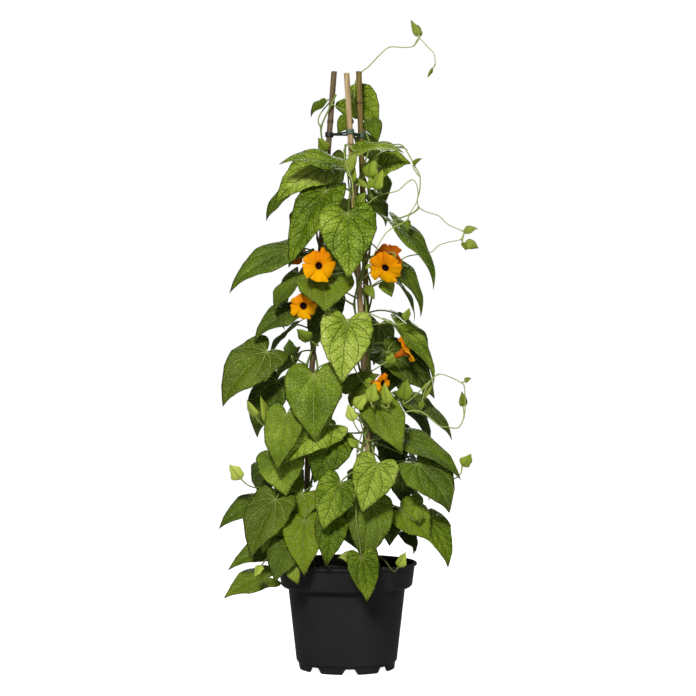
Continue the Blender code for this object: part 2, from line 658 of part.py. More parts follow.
# Whether any two faces of a shape that don't share a corner cross each other
def crosses_itself(shape):
    tree = BVHTree.FromPolygons(np.array(shape[0]).tolist(), shape[1])
    corners = [set(face) for face in shape[1]]
    return any(not corners[a] & corners[b] for a, b in tree.overlap(tree))


def moved(item, step):
    made = dict(item)
    for key in ("base", "tip", "centre"):
        if key in item:
            made[key] = item[key] + step
    if "path" in item:
        made["path"] = [p + step for p in item["path"]]
    return made


# The closed shapes of an item, or the swollen ones that measure its room
def shapes_of(item, swell=0.0):
    if item["kind"] == "leaf":
        return [blade_room(item, swell)]
    if item["kind"] == "pod":
        return [pod(item, swell)]
    if item["kind"] == "bloom":
        return [corolla(item, swell), pod(cup(item), swell)]
    return [tube(item["path"], SHOOT_RADIUS + swell, STALK_SIDES)]


# The pair of bracts that a bloom's tube comes out of
def cup(item):
    tip = item["centre"] - item["normal"] * (BLOOM_TUBE + GAP)
    base = tip - item["normal"] * CUP_LENGTH
    return {"kind": "pod", "base": base, "tip": tip, "width": CUP_WIDTH, "end": CUP_MOUTH}


# Sets an item where it is clear of all before it, moving it outward in small steps
def settle(item, outward, limit=PUSH_LIMIT):
    for count in range(limit):
        trial = moved(item, outward * PUSH * count)
        if all(is_clear(shape, (item["name"],)) for shape in shapes_of(trial, CLEARANCE)):
            for shape in shapes_of(trial, GAP):
                take_room(trial["name"], shape)
            return trial
    return None


def leaf_item(name, base, tip, width, turn, lean):
    base = np.array(base, dtype=float) * MM
    tip = np.array(tip, dtype=float) * MM
    along = unit(tip - base)
    look = facing(turn, lean)
    normal = unit(look - along * np.dot(look, along))
    return {"kind": "leaf", "name": name, "base": base, "tip": tip, "width": width * MM, "normal": normal}


def table_items():
    items = [leaf_item(*row) for row in LEAVES]
    for number, (base, tip, width) in enumerate(PODS):
        ends = np.array((base, tip), dtype=float) * MM
        items.append({"kind": "pod", "name": f"pod_{number}", "base": ends[0], "tip": ends[1],
                      "width": width * MM, "end": POD_TIP})
    for number, (centre, turn, lean, radius) in enumerate(BLOOMS):
        items.append({"kind": "bloom", "name": f"bloom_{number}", "centre": np.array(centre) * MM,
                      "normal": facing(turn, lean), "width": radius * MM})
    for number, path in enumerate(SHOOTS):
        items.append({"kind": "shoot", "name": f"shoot_{number}", "path": [np.array(p) * MM for p in path]})
    return items


def middle_of(item):
    return np.mean(shapes_of(item)[0][0], axis=0)


# Leaves for the back and the flanks: rows round the plant, hanging outward and down
def back_items():
    items = []
    for row, height in enumerate(ROW_HEIGHTS):
        count = ROW_LEAVES[row]
        for k in range(count):
            share = (k + 0.5 + 0.5 * (row % 2 - 0.5)) / count
            middle = BACK_ARC[0] + (BACK_ARC[1] - BACK_ARC[0]) * share
            angle = math.radians(middle + DRAW.uniform(-BACK_STRAY, BACK_STRAY))
            out = np.array((math.cos(angle), math.sin(angle), 0.0))
            reach = ROW_REACH[row] * DRAW.uniform(BACK_NEAR, 1.0)
            length = DRAW.uniform(*BACK_LENGTH) * (SMALL_SHARE if height > SMALL_ABOVE else 1.0)
            fall = DRAW.uniform(*BACK_FALL)
            tip = out * reach + np.array((0.0, 0.0, height + DRAW.uniform(*BACK_DROP)))
            swing = np.array((-out[1], out[0], 0.0)) * DRAW.uniform(-BACK_SWING, BACK_SWING)
            inward = out * -math.cos(math.radians(fall)) + np.array((0.0, 0.0, math.sin(math.radians(fall))))
            base = tip + inward * length + swing
            turn = math.degrees(math.atan2(out[0], -out[1]))
            items.append(leaf_item(f"back_{row}_{k}", base, tip, length * BACK_WIDTH, turn, 90 - fall))
    return [item for item in items if item["name"] not in BACK_OPEN]


# Points of a cubic curve from a start to an end with a handle at each
def curve(start, first, last, end, steps):
    t = np.linspace(0, 1, steps + 1)[:, None]
    return start * (1 - t) ** 3 + first * 3 * t * (1 - t) ** 2 + last * 3 * t * t * (1 - t) + end * t ** 3


# Where an item's stalk ends, and the directions that it may come in by
def stalk_end(item):
    if item["kind"] == "leaf":
        along = unit(item["tip"] - item["base"])
        return item["base"], [unit(along + item["normal"] * lift) for lift in LEAF_WAYS]
    if item["kind"] == "shoot":
        return item["path"][0], [unit(item["path"][1] - item["path"][0])]
    target = item if item["kind"] == "pod" else cup(item)
    along = unit(target["tip"] - target["base"])
    side = unit(np.cross(along, (0.1, 0.0, 1.0)))
    over = np.cross(side, along)
    return target["base"], [along] + [unit(along + POD_WAY * lean) for lean in (over, -over, side, -side)]


# An item's solid with its stalk, in one body. A shoot's stalk is its own root end.
def borne_shape(item, stalk, radius):
    if item["kind"] == "leaf":
        return leaf_body(item, stalk, radius)
    if item["kind"] == "shoot":
        return tube(list(stalk[:-1]) + item["path"], SHOOT_RADIUS, STALK_SIDES)
    return pod(item if item["kind"] == "pod" else cup(item), 0.0, stalk, radius)


# The first stalk from a stem joint to the item that is clear of all else, nearest joints first
def find_stalk(item, radius):
    end, ways = stalk_end(item)
    order = sorted(joints, key=lambda joint: np.linalg.norm(joint["point"] - end) + joint["used"] * CROWDING)
    for joint in order[:JOINTS_TRIED]:
        start = joint["point"]
        span = np.linalg.norm(end - start)
        on_shoot = joint["owner"] != joint["stem"]
        if span < SHORTEST_STALK or (on_shoot and span > SHOOT_REACH):
            continue
        steps = next(count for length, count in STALK_STEPS if span < length)
        for bend in STALK_BENDS:
            for way in ways:
                for rise in STALK_RISES:
                    out = unit(joint["out"] + unit(end - start) * STALK_PULL + np.array((0.0, 0.0, rise)))
                    stalk = curve(start, start + out * span * bend, end - way * span * bend, end, steps)
                    free = stalk.copy()
                    free[0] += unit(stalk[1] - start) * min(ROOT_ROOM, 0.7 * np.linalg.norm(stalk[1] - start))
                    probe = tube(free, radius + CLEARANCE, STALK_SIDES)
                    near = (item["name"], joint["owner"])
                    whole = tube(stalk, radius + GAP, STALK_SIDES)
                    if not is_clear(probe, near) or not is_clear(whole, near, joint["stem"]):
                        continue
                    shape = borne_shape(item, stalk, radius)
                    if not crosses_itself(shape):
                        return joint, stalk, shape
    return None


plant_coat = material("leaf_green", (0.055, 0.17, 0.022), 0.5)
petal_coat = material("petal_orange", (0.90, 0.26, 0.010), 0.5)
eye_coat = material("throat_dark", (0.020, 0.006, 0.016), 0.6)


def build_pot():
    lip = POT_HEIGHT - LIP_HEIGHT
    profile = [
        (0, POT_FLOOR), (FOOT_RADIUS - FOOT_WALL, POT_FLOOR), (FOOT_RADIUS - FOOT_WALL, 0), (FOOT_RADIUS, 0),
        (FOOT_RADIUS + FOOT_FLARE, SHOULDER - FOOT_WALL), (BODY_LOW_RADIUS, SHOULDER), (BODY_RADIUS, BAND_BOTTOM),
        (BAND_LOW_RADIUS - BAND_CORNER, BAND_BOTTOM), (BAND_LOW_RADIUS, BAND_BOTTOM + BAND_CORNER),
        (BAND_RADIUS, lip), (LIP_RADIUS, lip + LIP_BEVEL), (LIP_RADIUS - LIP_BEVEL, POT_HEIGHT),
        (BAND_RADIUS - WALL, POT_HEIGHT), (BAND_LOW_RADIUS - WALL, BAND_BOTTOM + 2 * WALL),
        (BODY_RADIUS - WALL, BAND_BOTTOM + WALL), (BODY_LOW_RADIUS - WALL, SHOULDER + LIP_BEVEL),
        (FOOT_RADIUS - WALL, POT_FLOOR + WALL), (0, POT_FLOOR + WALL),
    ]
    coat = material("pot_black", (0.018, 0.018, 0.019), 0.42)
    pot = solid("pot", turned(profile, POT_SIDES), coat, smooth=True)
    notches = []
    for k in range(NOTCH_COUNT):
        angle = math.tau * k / NOTCH_COUNT + math.radians(NOTCH_TURN) - math.pi / 2
        out = np.array((math.cos(angle), math.sin(angle), 0.0))
        side = np.array((-out[1], out[0], 0.0))
        corners = []
        for height, half in ((-NOTCH_HEIGHT, NOTCH_WIDTH - NOTCH_TOP_WIDTH / 2), (NOTCH_HEIGHT, NOTCH_TOP_WIDTH / 2)):
            for depth, wide in ((-1, -half), (1, -half), (1, half), (-1, half)):
                reach = FOOT_RADIUS + NOTCH_DEPTH * depth
                corners.append(out * reach + side * wide + np.array((0.0, 0.0, height)))
        sides = [(0, 1, 5, 4), (1, 2, 6, 5), (2, 3, 7, 6), (3, 0, 4, 7)]
        notches.append((np.array(corners), [(0, 1, 2, 3), (4, 5, 6, 7)] + sides))
    cut(pot, notches)
    return pot


# Soil to a little under the rim, uneven on top, with a hole for each cane and stem
def build_soil():
    space = SOIL_GAP
    profile = [
        (0, POT_FLOOR + WALL + GAP), (FOOT_RADIUS - WALL - 2 * space, POT_FLOOR + WALL + GAP),
        (BODY_LOW_RADIUS - WALL - space, SHOULDER + 3 * space),
        (BODY_RADIUS - WALL - space, BAND_BOTTOM + WALL + 2 * space),
        (BAND_LOW_RADIUS - WALL - 2 * space, BAND_BOTTOM + 2 * WALL + space),
        (BAND_LOW_RADIUS - WALL / 2, SOIL_LEVEL), (0.9 * SOIL_EDGE, SOIL_LEVEL + SOIL_MOUND),
        (0.5 * SOIL_EDGE, SOIL_LEVEL), (0, SOIL_LEVEL + SOIL_MOUND),
    ]
    verts, faces = turned(profile, POT_SIDES)
    for vert in verts:
        if vert[2] > SOIL_LEVEL - GAP and math.hypot(vert[0], vert[1]) < SOIL_EDGE:
            vert[2] += SOIL_BUMP * noise.noise(Vector(vert) * SOIL_GRAIN)
    coat = material("soil_brown", (0.030, 0.019, 0.012), 0.95)
    soil = solid("soil", (verts, faces), coat)
    holes = []
    for cane in CANES:
        holes.append(cane_shape(cane, CANE_RADIUS + GAP, CANE_BOTTOM - GAP))
    for stem in STEMS:
        heights = [STEM_FOOT - GAP, STEM_FOOT + STEM_STEP, STEM_FOOT + 2 * STEM_STEP]
        points = [stem_point(stem, h) for h in heights]
        points[0] = stem_point(stem, STEM_FOOT) - np.array((0.0, 0.0, GAP))
        holes.append(tube(points, STEM_RADIUS + 2 * GAP, STEM_HOLE_SIDES))
    cut(soil, holes)
    return soil


def build_canes():
    for cane in CANES:
        solid(cane[0], cane_shape(cane), material(f"{cane[0]}_wood", cane[5], 0.6), smooth=True)
        take_room(cane[0], cane_shape(cane))


# The clip in one body, its eyelets in line with the canes
def build_clip():
    inner = CANE_RADIUS + 1.3 * GAP
    outer = inner + CLIP_WALL
    shapes = []
    centres = []
    for cane in CANES:
        centre = cane_point(cane, CLIP_HEIGHT)
        axis = unit(cane_point(cane, CLIP_HEIGHT + 1 * MM) - centre)
        right = unit(np.cross(np.array((0.0, 1.0, 0.0)), axis))
        ahead = np.cross(axis, right)
        verts = []
        section = [(inner, -CLIP_HALF), (outer, -CLIP_HALF), (outer, CLIP_HALF), (inner, CLIP_HALF)]
        for radius, rise in section:
            for k in range(CLIP_SIDES):
                angle = math.tau * k / CLIP_SIDES
                verts.append(centre + (right * math.cos(angle) + ahead * math.sin(angle)) * radius + axis * rise)
        faces = []
        for row in range(len(section)):
            for k in range(CLIP_SIDES):
                a = row * CLIP_SIDES
                b = (row + 1) % len(section) * CLIP_SIDES
                following = (k + 1) % CLIP_SIDES
                faces.append((a + k, a + following, b + following, b + k))
        shapes.append((np.array(verts), faces))
        centres.append(centre)
    reach = (inner + outer) / 2
    for a, b in ((0, 1), (1, 2), (2, 0)):
        way = unit(centres[b] - centres[a])
        shapes.append(tube([centres[a] + way * reach, centres[b] - way * reach], CLIP_BAR, CLIP_BAR_SIDES))
    for shape in shapes:
        take_room("clip", shape)
    union("clip", shapes, material("clip_green", (0.016, 0.045, 0.028), 0.4))


for body in (build_pot(), build_soil()):
    mesh = body.data
    take_room(body.name, ([tuple(v.co) for v in mesh.vertices], [tuple(p.vertices) for p in mesh.polygons]))
build_canes()
build_clip()

bodies = {}
joints = []
for number, stem in enumerate(STEMS):
    owner = f"stem_{number}"
    bodies[owner] = [stem_shape(stem)]
    take_room(owner, stem_shape(stem, CLEARANCE))
    heights = stem_heights(stem)
    for height in np.arange(heights[0] + FIRST_JOINT + JOINT_STAGGER * (number % 3), heights[-1], JOINT_SPACING):
        point = on_stem(stem, height)
        out = unit(point - cane_point(CANES[stem[0]], height))
        joints.append({"stem": owner, "owner": owner, "point": point, "out": out, "used": 0})
    tip = stem_point(stem, heights[-1])
    tip = tip - np.array((0.0, 0.0, 1.0)) * MM
    joints.append({"stem": owner, "owner": owner, "point": tip, "out": np.array((0.0, 0.0, 1.0)), "used": 0})

settled = []
for item in sorted(table_items(), key=lambda item: -middle_of(item)[1]):
    push = np.array((0.0, -1.0, 0.0))
    if middle_of(item)[1] > BACK_LINE:
        push = unit(middle_of(item) * np.array((1.0, 1.0, 0.0)))
    made = settle(item, push)
    if made is not None:
        settled.append(made)
for item in back_items():
    push = unit(middle_of(item) * np.array((1.0, 1.0, 0.0)))
    made = None
    for shift in BACK_SHIFTS:
        start = np.array((0.0, 0.0, shift * MM)) - push * BACK_START
        made = made or settle(moved(item, start), push, BACK_PUSHES)
    if made is not None:
        settled.append(made)


# Joins an item to the plant by its stalk, and gives its solid to the stem that bears it
def bear(item):
    young = item["kind"] != "leaf" or item["width"] < YOUNG_WIDTH
    radius = YOUNG_STALK_RADIUS if young else STALK_RADIUS
    joint, stalk, shape = find_stalk(item, radius)
    joint["used"] += 1
    bodies[joint["stem"]].append(shape)
    take_room(item["name"] + "_stalk", tube(stalk, radius + GAP, STALK_SIDES), joint["stem"])
    if item["kind"] == "shoot":
        for before, point in zip(item["path"], item["path"][1:]):
            way = unit(point - before)
            joints.append({"stem": joint["stem"], "owner": item["name"], "point": point, "out": way, "used": 0})


rank = {"bloom": 0, "shoot": 1, "pod": 2, "leaf": 3}
for item in sorted(settled, key=lambda item: rank[item["kind"]]):
    bear(item)
for owner, shapes in bodies.items():
    union(owner.replace("stem", "vine"), shapes, plant_coat, solver="MANIFOLD")
for item in settled:
    if item["kind"] == "bloom":
        solid(item["name"], corolla(item), petal_coat, smooth=True)
        solid(item["name"].replace("bloom", "throat"), eye(item), eye_coat)
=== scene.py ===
import math
import random

import bpy
import numpy as np
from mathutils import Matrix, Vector
from mathutils.kdtree import KDTree


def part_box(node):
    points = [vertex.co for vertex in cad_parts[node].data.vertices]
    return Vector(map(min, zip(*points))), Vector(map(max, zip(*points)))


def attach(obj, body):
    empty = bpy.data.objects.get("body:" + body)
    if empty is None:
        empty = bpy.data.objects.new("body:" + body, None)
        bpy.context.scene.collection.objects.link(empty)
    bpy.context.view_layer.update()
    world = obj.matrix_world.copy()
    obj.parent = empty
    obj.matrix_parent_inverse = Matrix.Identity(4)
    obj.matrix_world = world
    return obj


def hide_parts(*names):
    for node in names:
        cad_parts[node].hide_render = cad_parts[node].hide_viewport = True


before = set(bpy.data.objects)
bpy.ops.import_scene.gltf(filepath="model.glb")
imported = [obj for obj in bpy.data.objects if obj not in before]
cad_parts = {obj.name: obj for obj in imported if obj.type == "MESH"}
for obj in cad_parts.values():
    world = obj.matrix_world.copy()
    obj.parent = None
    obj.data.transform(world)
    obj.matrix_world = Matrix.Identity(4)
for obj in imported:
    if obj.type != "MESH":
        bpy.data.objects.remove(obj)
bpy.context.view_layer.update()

scene = bpy.context.scene
mm = 0.001
gap = 0.3 * mm
draw = random.Random(7)  # shared with the rule that sets out the back leaves, so the order of draws matters
shade = random.Random(11)
upward = np.array((0.0, 0.0, 1.0))


def unit(v):
    return v / np.linalg.norm(v, axis=-1, keepdims=True)


def turns(count):
    return np.arange(count) * math.tau / count


# Points of the unit circle at these angles, in the plane of two sides
def circle(angle, right, up):
    return np.cos(angle)[:, None] * right + np.sin(angle)[:, None] * up


# The level side and the raised side of something that looks along out
def sidesOf(out):
    right = unit(np.cross(upward, out))
    return right, np.cross(out, right)


# Where something turned to the right and leant upward looks, in degrees from straight ahead
def facing(turn, lean):
    turn = math.radians(turn)
    lean = math.radians(lean)
    return np.array((math.sin(turn) * math.cos(lean), -math.cos(turn) * math.cos(lean), math.sin(lean)))


# the frame width is at the plant's depth
cameraSet = {"at": (0.0016, -2.4, 0.399), "frameWidth": 0.870, "sensor": 36}


def makeCamera():
    data = bpy.data.cameras.new("camera")
    data.sensor_width = cameraSet["sensor"]
    data.lens = cameraSet["sensor"] * -cameraSet["at"][1] / cameraSet["frameWidth"]
    camera = bpy.data.objects.new("camera", data)
    camera.location = cameraSet["at"]
    camera.rotation_euler = (math.pi / 2, 0, 0)
    scene.collection.objects.link(camera)
    scene.camera = camera


# What each vertex tells its material, with the plain values: how pale the surface is (on leaves partly painted
# light and shade), how much painted light it shows (on a leaf the painted glow of light coming through it, on
# a petal its share toward the bottom of its bloom, the upper petals being painted in shade), and whether its
# veins are paler than the rest
markSet = {"tone": 0.5, "warm": 0.0, "pale": 0.0}


# A closed shape with its faces outward. Its volume, a sixth of the triple product of each triangle's
# corners summed, has to be positive. Slot is its material's number, and a mark is one value or one for
# each vertex.
def closedShape(verts, quads, tris, uv, slot=0, **marks):
    faces = np.concatenate((quads[:, :3], quads[:, [0, 2, 3]], tris))
    a, b, c = np.moveaxis(verts[faces], 1, 0)
    way = -1 if np.einsum("ij,ij->", a, np.cross(b, c)) < 0 else 1
    shape = {"verts": verts, "quads": quads[:, ::way], "tris": tris[:, ::way], "uv": uv}
    shape["slots"] = np.full(len(quads) + len(tris), slot)
    for key, plain in markSet.items():
        shape[key] = np.broadcast_to(marks.get(key, plain), len(verts))
    return shape


# Quads over a grid that is round in its cols: a band runs from each row to the next one, and from the
# last to the first
def bandQuads(rows, cols, bands):
    row, col = np.meshgrid(np.arange(bands), np.arange(cols), indexing="ij")
    start = row * cols
    end = (row + 1) % rows * cols
    after = (col + 1) % cols
    return np.stack((start + col, start + after, end + after, end + col), axis=-1).reshape(-1, 4)


# A tube over rows of verts (rows, cols, 3), round in cols, each end shut by the middle of its row
def closedTube(rings, uv=None, **marks):
    rows, cols = rings.shape[:2]
    k = np.arange(cols)
    after = (k + 1) % cols
    last = (rows - 1) * cols
    poles = np.stack((rings[0].mean(axis=0), rings[-1].mean(axis=0)))
    start = np.stack((np.full(cols, rows * cols), after, k), axis=-1)
    end = np.stack((np.full(cols, rows * cols + 1), last + k, last + after), axis=-1)
    if uv is None:
        uv = np.stack(np.broadcast_arrays(k / cols, np.linspace(0, 1, rows)[:, None]), axis=-1)
    uv = np.concatenate((uv.reshape(-1, 2), np.stack((uv[0].mean(axis=0), uv[-1].mean(axis=0)))))
    verts = np.concatenate((rings.reshape(-1, 3), poles))
    return closedShape(verts, bandQuads(rows, cols, rows - 1), np.concatenate((start, end)), uv, **marks)


# A ring whose section runs round in rows and whose rows run round the axis: both ways closed
def closedRing(rings, **marks):
    rows, cols = rings.shape[:2]
    uv = np.stack(np.broadcast_arrays(np.arange(cols) / cols, np.arange(rows)[:, None] / rows), axis=-1)
    verts = rings.reshape(-1, 3)
    return closedShape(verts, bandQuads(rows, cols, rows), np.zeros((0, 3), int), uv.reshape(-1, 2), **marks)


# Puts closed shapes into one mesh with their chart and their marks, quads first and then triangles
def makeMesh(name, shapes, materials, angle=None):
    def joined(key):
        return np.concatenate([shape[key] for shape in shapes])

    starts = np.cumsum([0] + [len(shape["verts"]) for shape in shapes])[:-1]
    quads = np.concatenate([shape["quads"] + n for shape, n in zip(shapes, starts)])
    tris = np.concatenate([shape["tris"] + n for shape, n in zip(shapes, starts)])
    corners = np.concatenate((quads.ravel(), tris.ravel()))
    verts = joined("verts")
    mesh = bpy.data.meshes.new(name)
    mesh.vertices.add(len(verts))
    mesh.vertices.foreach_set("co", verts.ravel())
    mesh.loops.add(len(corners))
    mesh.loops.foreach_set("vertex_index", corners)
    mesh.polygons.add(len(quads) + len(tris))
    firsts = np.concatenate((np.arange(len(quads)) * 4, len(quads) * 4 + np.arange(len(tris)) * 3))
    mesh.polygons.foreach_set("loop_start", firsts)
    first = [shape["slots"][:len(shape["quads"])] for shape in shapes]
    second = [shape["slots"][len(shape["quads"]):] for shape in shapes]
    mesh.polygons.foreach_set("material_index", np.concatenate(first + second).astype(np.int32))
    mesh.update(calc_edges=True)
    mesh.validate()
    mesh.uv_layers.new(name="chart").data.foreach_set("uv", joined("uv")[corners].ravel())
    for key in markSet:
        mesh.attributes.new(key, "FLOAT", "POINT").data.foreach_set("value", joined(key).astype(np.float32))
    for one in materials:
        mesh.materials.append(one)
    mesh.shade_smooth()
    if angle:
        mesh.set_sharp_from_angle(angle=math.radians(angle))
    piece = bpy.data.objects.new(name, mesh)
    scene.collection.objects.link(piece)
    return piece


# A round pipe: each point's circle stands across the path, turned about a fixed side so that none twists
def pipe(points, radii, sides, **marks):
    points = np.asarray(points, dtype=float)
    along = unit(np.gradient(points, axis=0))
    axis = np.eye(3)[np.argmin(np.abs(along).max(axis=0))]
    across = unit(np.cross(along, axis))
    other = np.cross(across, along)
    radii = np.broadcast_to(np.asarray(radii, dtype=float), len(points))[:, None, None]
    ring = circle(turns(sides), across[:, None], other[:, None])
    return closedTube((points[:, None] + ring * radii)[:, ::-1], **marks)


# A curve through points: each stretch is a cubic whose slopes are half the step between its neighbours
def through(points, steps):
    p = np.asarray(points, dtype=float)
    p = np.concatenate((2 * p[:1] - p[1:2], p, 2 * p[-1:] - p[-2:-1]))
    t = np.linspace(0, 1, steps, endpoint=False)[:, None, None]
    a, b, c, d = p[:-3], p[1:-2], p[2:-1], p[3:]
    curve = b + t * (c - a) / 2 + t * t * (a - 2.5 * b + 2 * c - d / 2)
    curve = curve + t ** 3 * (1.5 * (b - c) + (d - a) / 2)
    return np.concatenate((np.swapaxes(curve, 0, 1).reshape(-1, p.shape[1]), p[-2:-1]))


# A cubic from a start to an end with a handle at each
def cubic(start, first, last, end, steps):
    t = np.linspace(0, 1, steps + 1)[:, None]
    return start * (1 - t) ** 3 + first * 3 * t * (1 - t) ** 2 + last * 3 * t * t * (1 - t) + end * t ** 3


def finishPiece(piece, slotName, *nodes):
    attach(piece, "root")
    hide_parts(*nodes)
    return piece


caneSet = {
    "radius": 3.5 * mm, "knot": 0.6 * mm, "bottom": 30 * mm, "knotSpacing": 118 * mm, "knotMargin": 12 * mm,
    "clipHeight": 666.5 * mm, "soilLevel": 118 * mm, "bowTop": 420 * mm, "bow": 21.5 * mm,
    "sides": 26, "step": 2 * mm, "hollow": 1.5 * mm, "hollowDepth": 4 * mm,
    "ridge": 1.3 * mm,  # a knot's half width
    "upperRidge": (3.4 * mm, 2.2 * mm, 0.5),  # how far above the knot, half width and share of its height
    "drift": 0.12 * mm, "driftScale": 40 * mm, "oval": 0.02,
    # name, top height, straight foot on the soil, place at the clip and first knot, in mm
    "canes": [
        ("cane_left", 746, (-63.0, 0.0), (-21.8, 7.9), 92),
        ("cane_front", 740, (36.0, -57.2), (4.2, -22.9), 60),
        ("cane_back", 746, (36.0, 57.2), (17.8, 15.1), 116),
    ],
}


# Centres of a cane at heights: the straight line from foot to clip, less a bow that grows as the square
# downward
def canePoint(cane, heights):
    c = caneSet
    heights = np.asarray(heights, dtype=float)
    foot = np.array(cane[2]) * mm
    hold = np.array(cane[3]) * mm
    share = (heights - c["soilLevel"]) / (c["clipHeight"] - c["soilLevel"])
    bow = c["bow"] * np.maximum(0.0, (c["bowTop"] - heights) / (c["bowTop"] - c["bottom"])) ** 2
    place = foot + (hold - foot) * share[..., None] - unit(foot) * bow[..., None]
    return np.concatenate((place, heights[..., None]), axis=-1)


stemSet = {
    "radius": 1.6 * mm, "step": 20 * mm, "foot": 106 * mm, "taper": 0.35, "length": 620 * mm,
    "twineRadius": 7.6 * mm, "twinePitch": 122 * mm, "footSpread": 5 * mm, "footSpreadTop": 60 * mm,
    "clipSpread": 4.5 * mm, "clipSpreadHalf": 34 * mm, "firstJoint": 38 * mm, "jointStagger": 9 * mm,
    "jointSpacing": 28 * mm, "sides": 10, "fineStep": 5 * mm, "jointSwell": 0.5, "swellHalf": 3 * mm,
    # cane, height reached, turn at the clip away from straight outward, in degrees
    "stems": [(0, 716, 0), (0, 640, 180), (1, 650, 0), (1, 596, 180), (2, 716, 0), (2, 622, 180)],
}


# Centres of a stem at heights: a helix round its cane, wider at the soil and past the clip
def stemPoint(stem, heights):
    s = stemSet
    heights = np.asarray(heights, dtype=float)
    cane = caneSet["canes"][stem[0]]
    rise = heights - caneSet["clipHeight"]
    angle = math.atan2(cane[3][1], cane[3][0]) + math.radians(stem[2]) + math.tau * rise / s["twinePitch"]
    foot = np.maximum(0.0, 1 - (heights - s["foot"]) / s["footSpreadTop"])
    clip = np.maximum(0.0, 1 - np.abs(rise) / s["clipSpreadHalf"])
    radius = s["twineRadius"] + s["footSpread"] * foot ** 2 + s["clipSpread"] * clip ** 0.7
    ring = np.stack((np.cos(angle), np.sin(angle), np.zeros_like(angle)), axis=-1)
    return canePoint(cane, heights) + radius[..., None] * ring


def stemHeights(stem):
    steps = round((stem[1] * mm - stemSet["foot"]) / stemSet["step"])
    return np.linspace(stemSet["foot"], stem[1] * mm, steps + 1)


# The joints that stalks grow from: points on the model's straight stretches of stem, and its top
def stemJoints(number):
    stem = stemSet["stems"][number]
    cane = caneSet["canes"][stem[0]]
    heights = stemHeights(stem)
    points = stemPoint(stem, heights)
    first = heights[0] + stemSet["firstJoint"] + stemSet["jointStagger"] * (number % 3)
    found = []
    for height in np.arange(first, heights[-1], stemSet["jointSpacing"]):
        point = np.array([np.interp(height, heights, points[:, axis]) for axis in range(3)])
        found.append({"stem": number, "point": point, "out": unit(point - canePoint(cane, height))})
    found.append({"stem": number, "point": points[-1] - upward * mm, "out": upward})
    return found


leafSet = {
    # half outline as (along the midrib, share of the half width), from the stalk round to the tip
    "half": [(-0.12, 0.25), (-0.18, 0.6), (-0.07, 0.92), (0.14, 1.0), (0.36, 0.94), (0.6, 0.68),
             (0.83, 0.28)],
    "youngHalf": [(-0.03, 0.5), (0.16, 1.0), (0.48, 0.88), (0.8, 0.38)],
    "tail": [(0.93, 0.12), (1.0, 0.0)],  # the point of the tip, which the model leaves out
    "youngWidth": 32 * mm, "arch": 0.07, "bow": 0.10, "fold": 0.10,
    "thick": 0.7 * mm, "rays": 34, "rings": 14, "youngRays": 14, "youngRings": 6, "curveSteps": 12,
    "centre": 0.05, "teeth": 6, "tooth": 0.05, "fullWidth": 60 * mm,
    # pillows between veins: height, shares of palmate and side ones, how far they sink, where they start
    "pillow": 2.4 * mm, "mainPillow": 0.75, "sidePillow": 0.4, "sink": 0.5, "pillowFrom": 0.15,
    "wave": 4.2 * mm, "waves": 9, "waveTurn": 1.7, "droop": 0.07, "droopFrom": 0.72, "hook": 0.05,
    "deeper": 0.22,  # most fold beyond the model's
    "crease": 0.04,  # half width over which the fold is rounded at the midrib
    "chart": 0.42,  # how wide a leaf's half is drawn on its vein chart, as a share of its length
    "stray": 0.03, "halves": 0.09, "ends": 0.14,  # how far tone strays at random by leaf, and the painted light and shade across its halves and along its length
    "paleUnder": 0.53, "youngPale": 0.45,  # leaves darker than this have pale veins, and young leaves half so
    "darkVeined": ("long_left", "low_centre", "over_rim", "right_low", "plate_middle"),
}
stalkSet = {
    "radius": 1.0 * mm, "youngRadius": 0.8 * mm, "shootRadius": 0.9 * mm, "shortest": 4 * mm,
    "bends": (0.35, 0.6, 0.2), "rises": (0.0, 0.7, -0.7), "pull": 0.8,
    "leafWays": (0.7, 1.6, 0.2, 4.0), "podWay": 0.8,
    "steps": [(25 * mm, 2), (55 * mm, 3), (1.0, 4)], "match": 0.03 * mm, "sides": 8, "fineSteps": 12,
    "swell": (1.5, 1.25, 1.08), "forward": 2 * mm, "forwardTries": 17,
    "leadSteps": 8, "pathSteps": 6, "shootTaper": (0.95, 0.6), "shootSwell": (1.5, 1.2), "shootTone": 0.70,
    "leafTone": (0.4, 0.4),  # a leaf stalk's tone: a plain part, and how much it follows its leaf's tone, painted light and shade included
    "ribUnder": (0.6, 0.004),  # how deep the rib lies: shares of the blade's thickness and of its width
    # a rib under the blade: places along the midrib, and shares of the stalk's radius there
    "rib": (0.05, 0.14, 0.27, 0.42, 0.58, 0.72), "ribRadius": (0.9, 0.72, 0.6, 0.48, 0.36, 0.2),
}
backSet = {
    "heights": [140, 190, 240, 290, 340, 390, 440, 490, 540, 590, 640],
    "reach": [112, 121, 123, 123, 120, 114, 108, 100, 88, 72, 54],
    "leaves": [5, 4, 4, 4, 4, 4, 4, 3, 3, 3, 1],
    "arc": (-28, 208), "stray": 8, "length": (56, 78), "width": 0.74, "fall": (48, 68), "swing": 22,
    "drop": (0, -20), "near": 0.86, "smallAbove": 560, "smallShare": 0.75, "search": 60 * mm, "tone": 0.40,
    "open": ["back_3_2", "back_4_2", "back_5_2", "back_6_1", "back_7_0", "back_7_2"],  # places left open
}


# A leaf from its ends: its face looks as near as it can to the way that it is turned
def leafItem(name, base, tip, width, turn, lean, tone, warm):
    base = np.array(base, dtype=float) * mm
    span = np.array(tip, dtype=float) * mm - base
    long = np.linalg.norm(span)
    look = facing(turn, lean)
    normal = unit(look - span * np.dot(look, span) / long ** 2)
    return {"kind": "leaf", "name": name, "base": base, "span": span, "long": long, "width": width * mm,
            "normal": normal, "across": np.cross(normal, span / long), "tone": tone, "warm": warm}


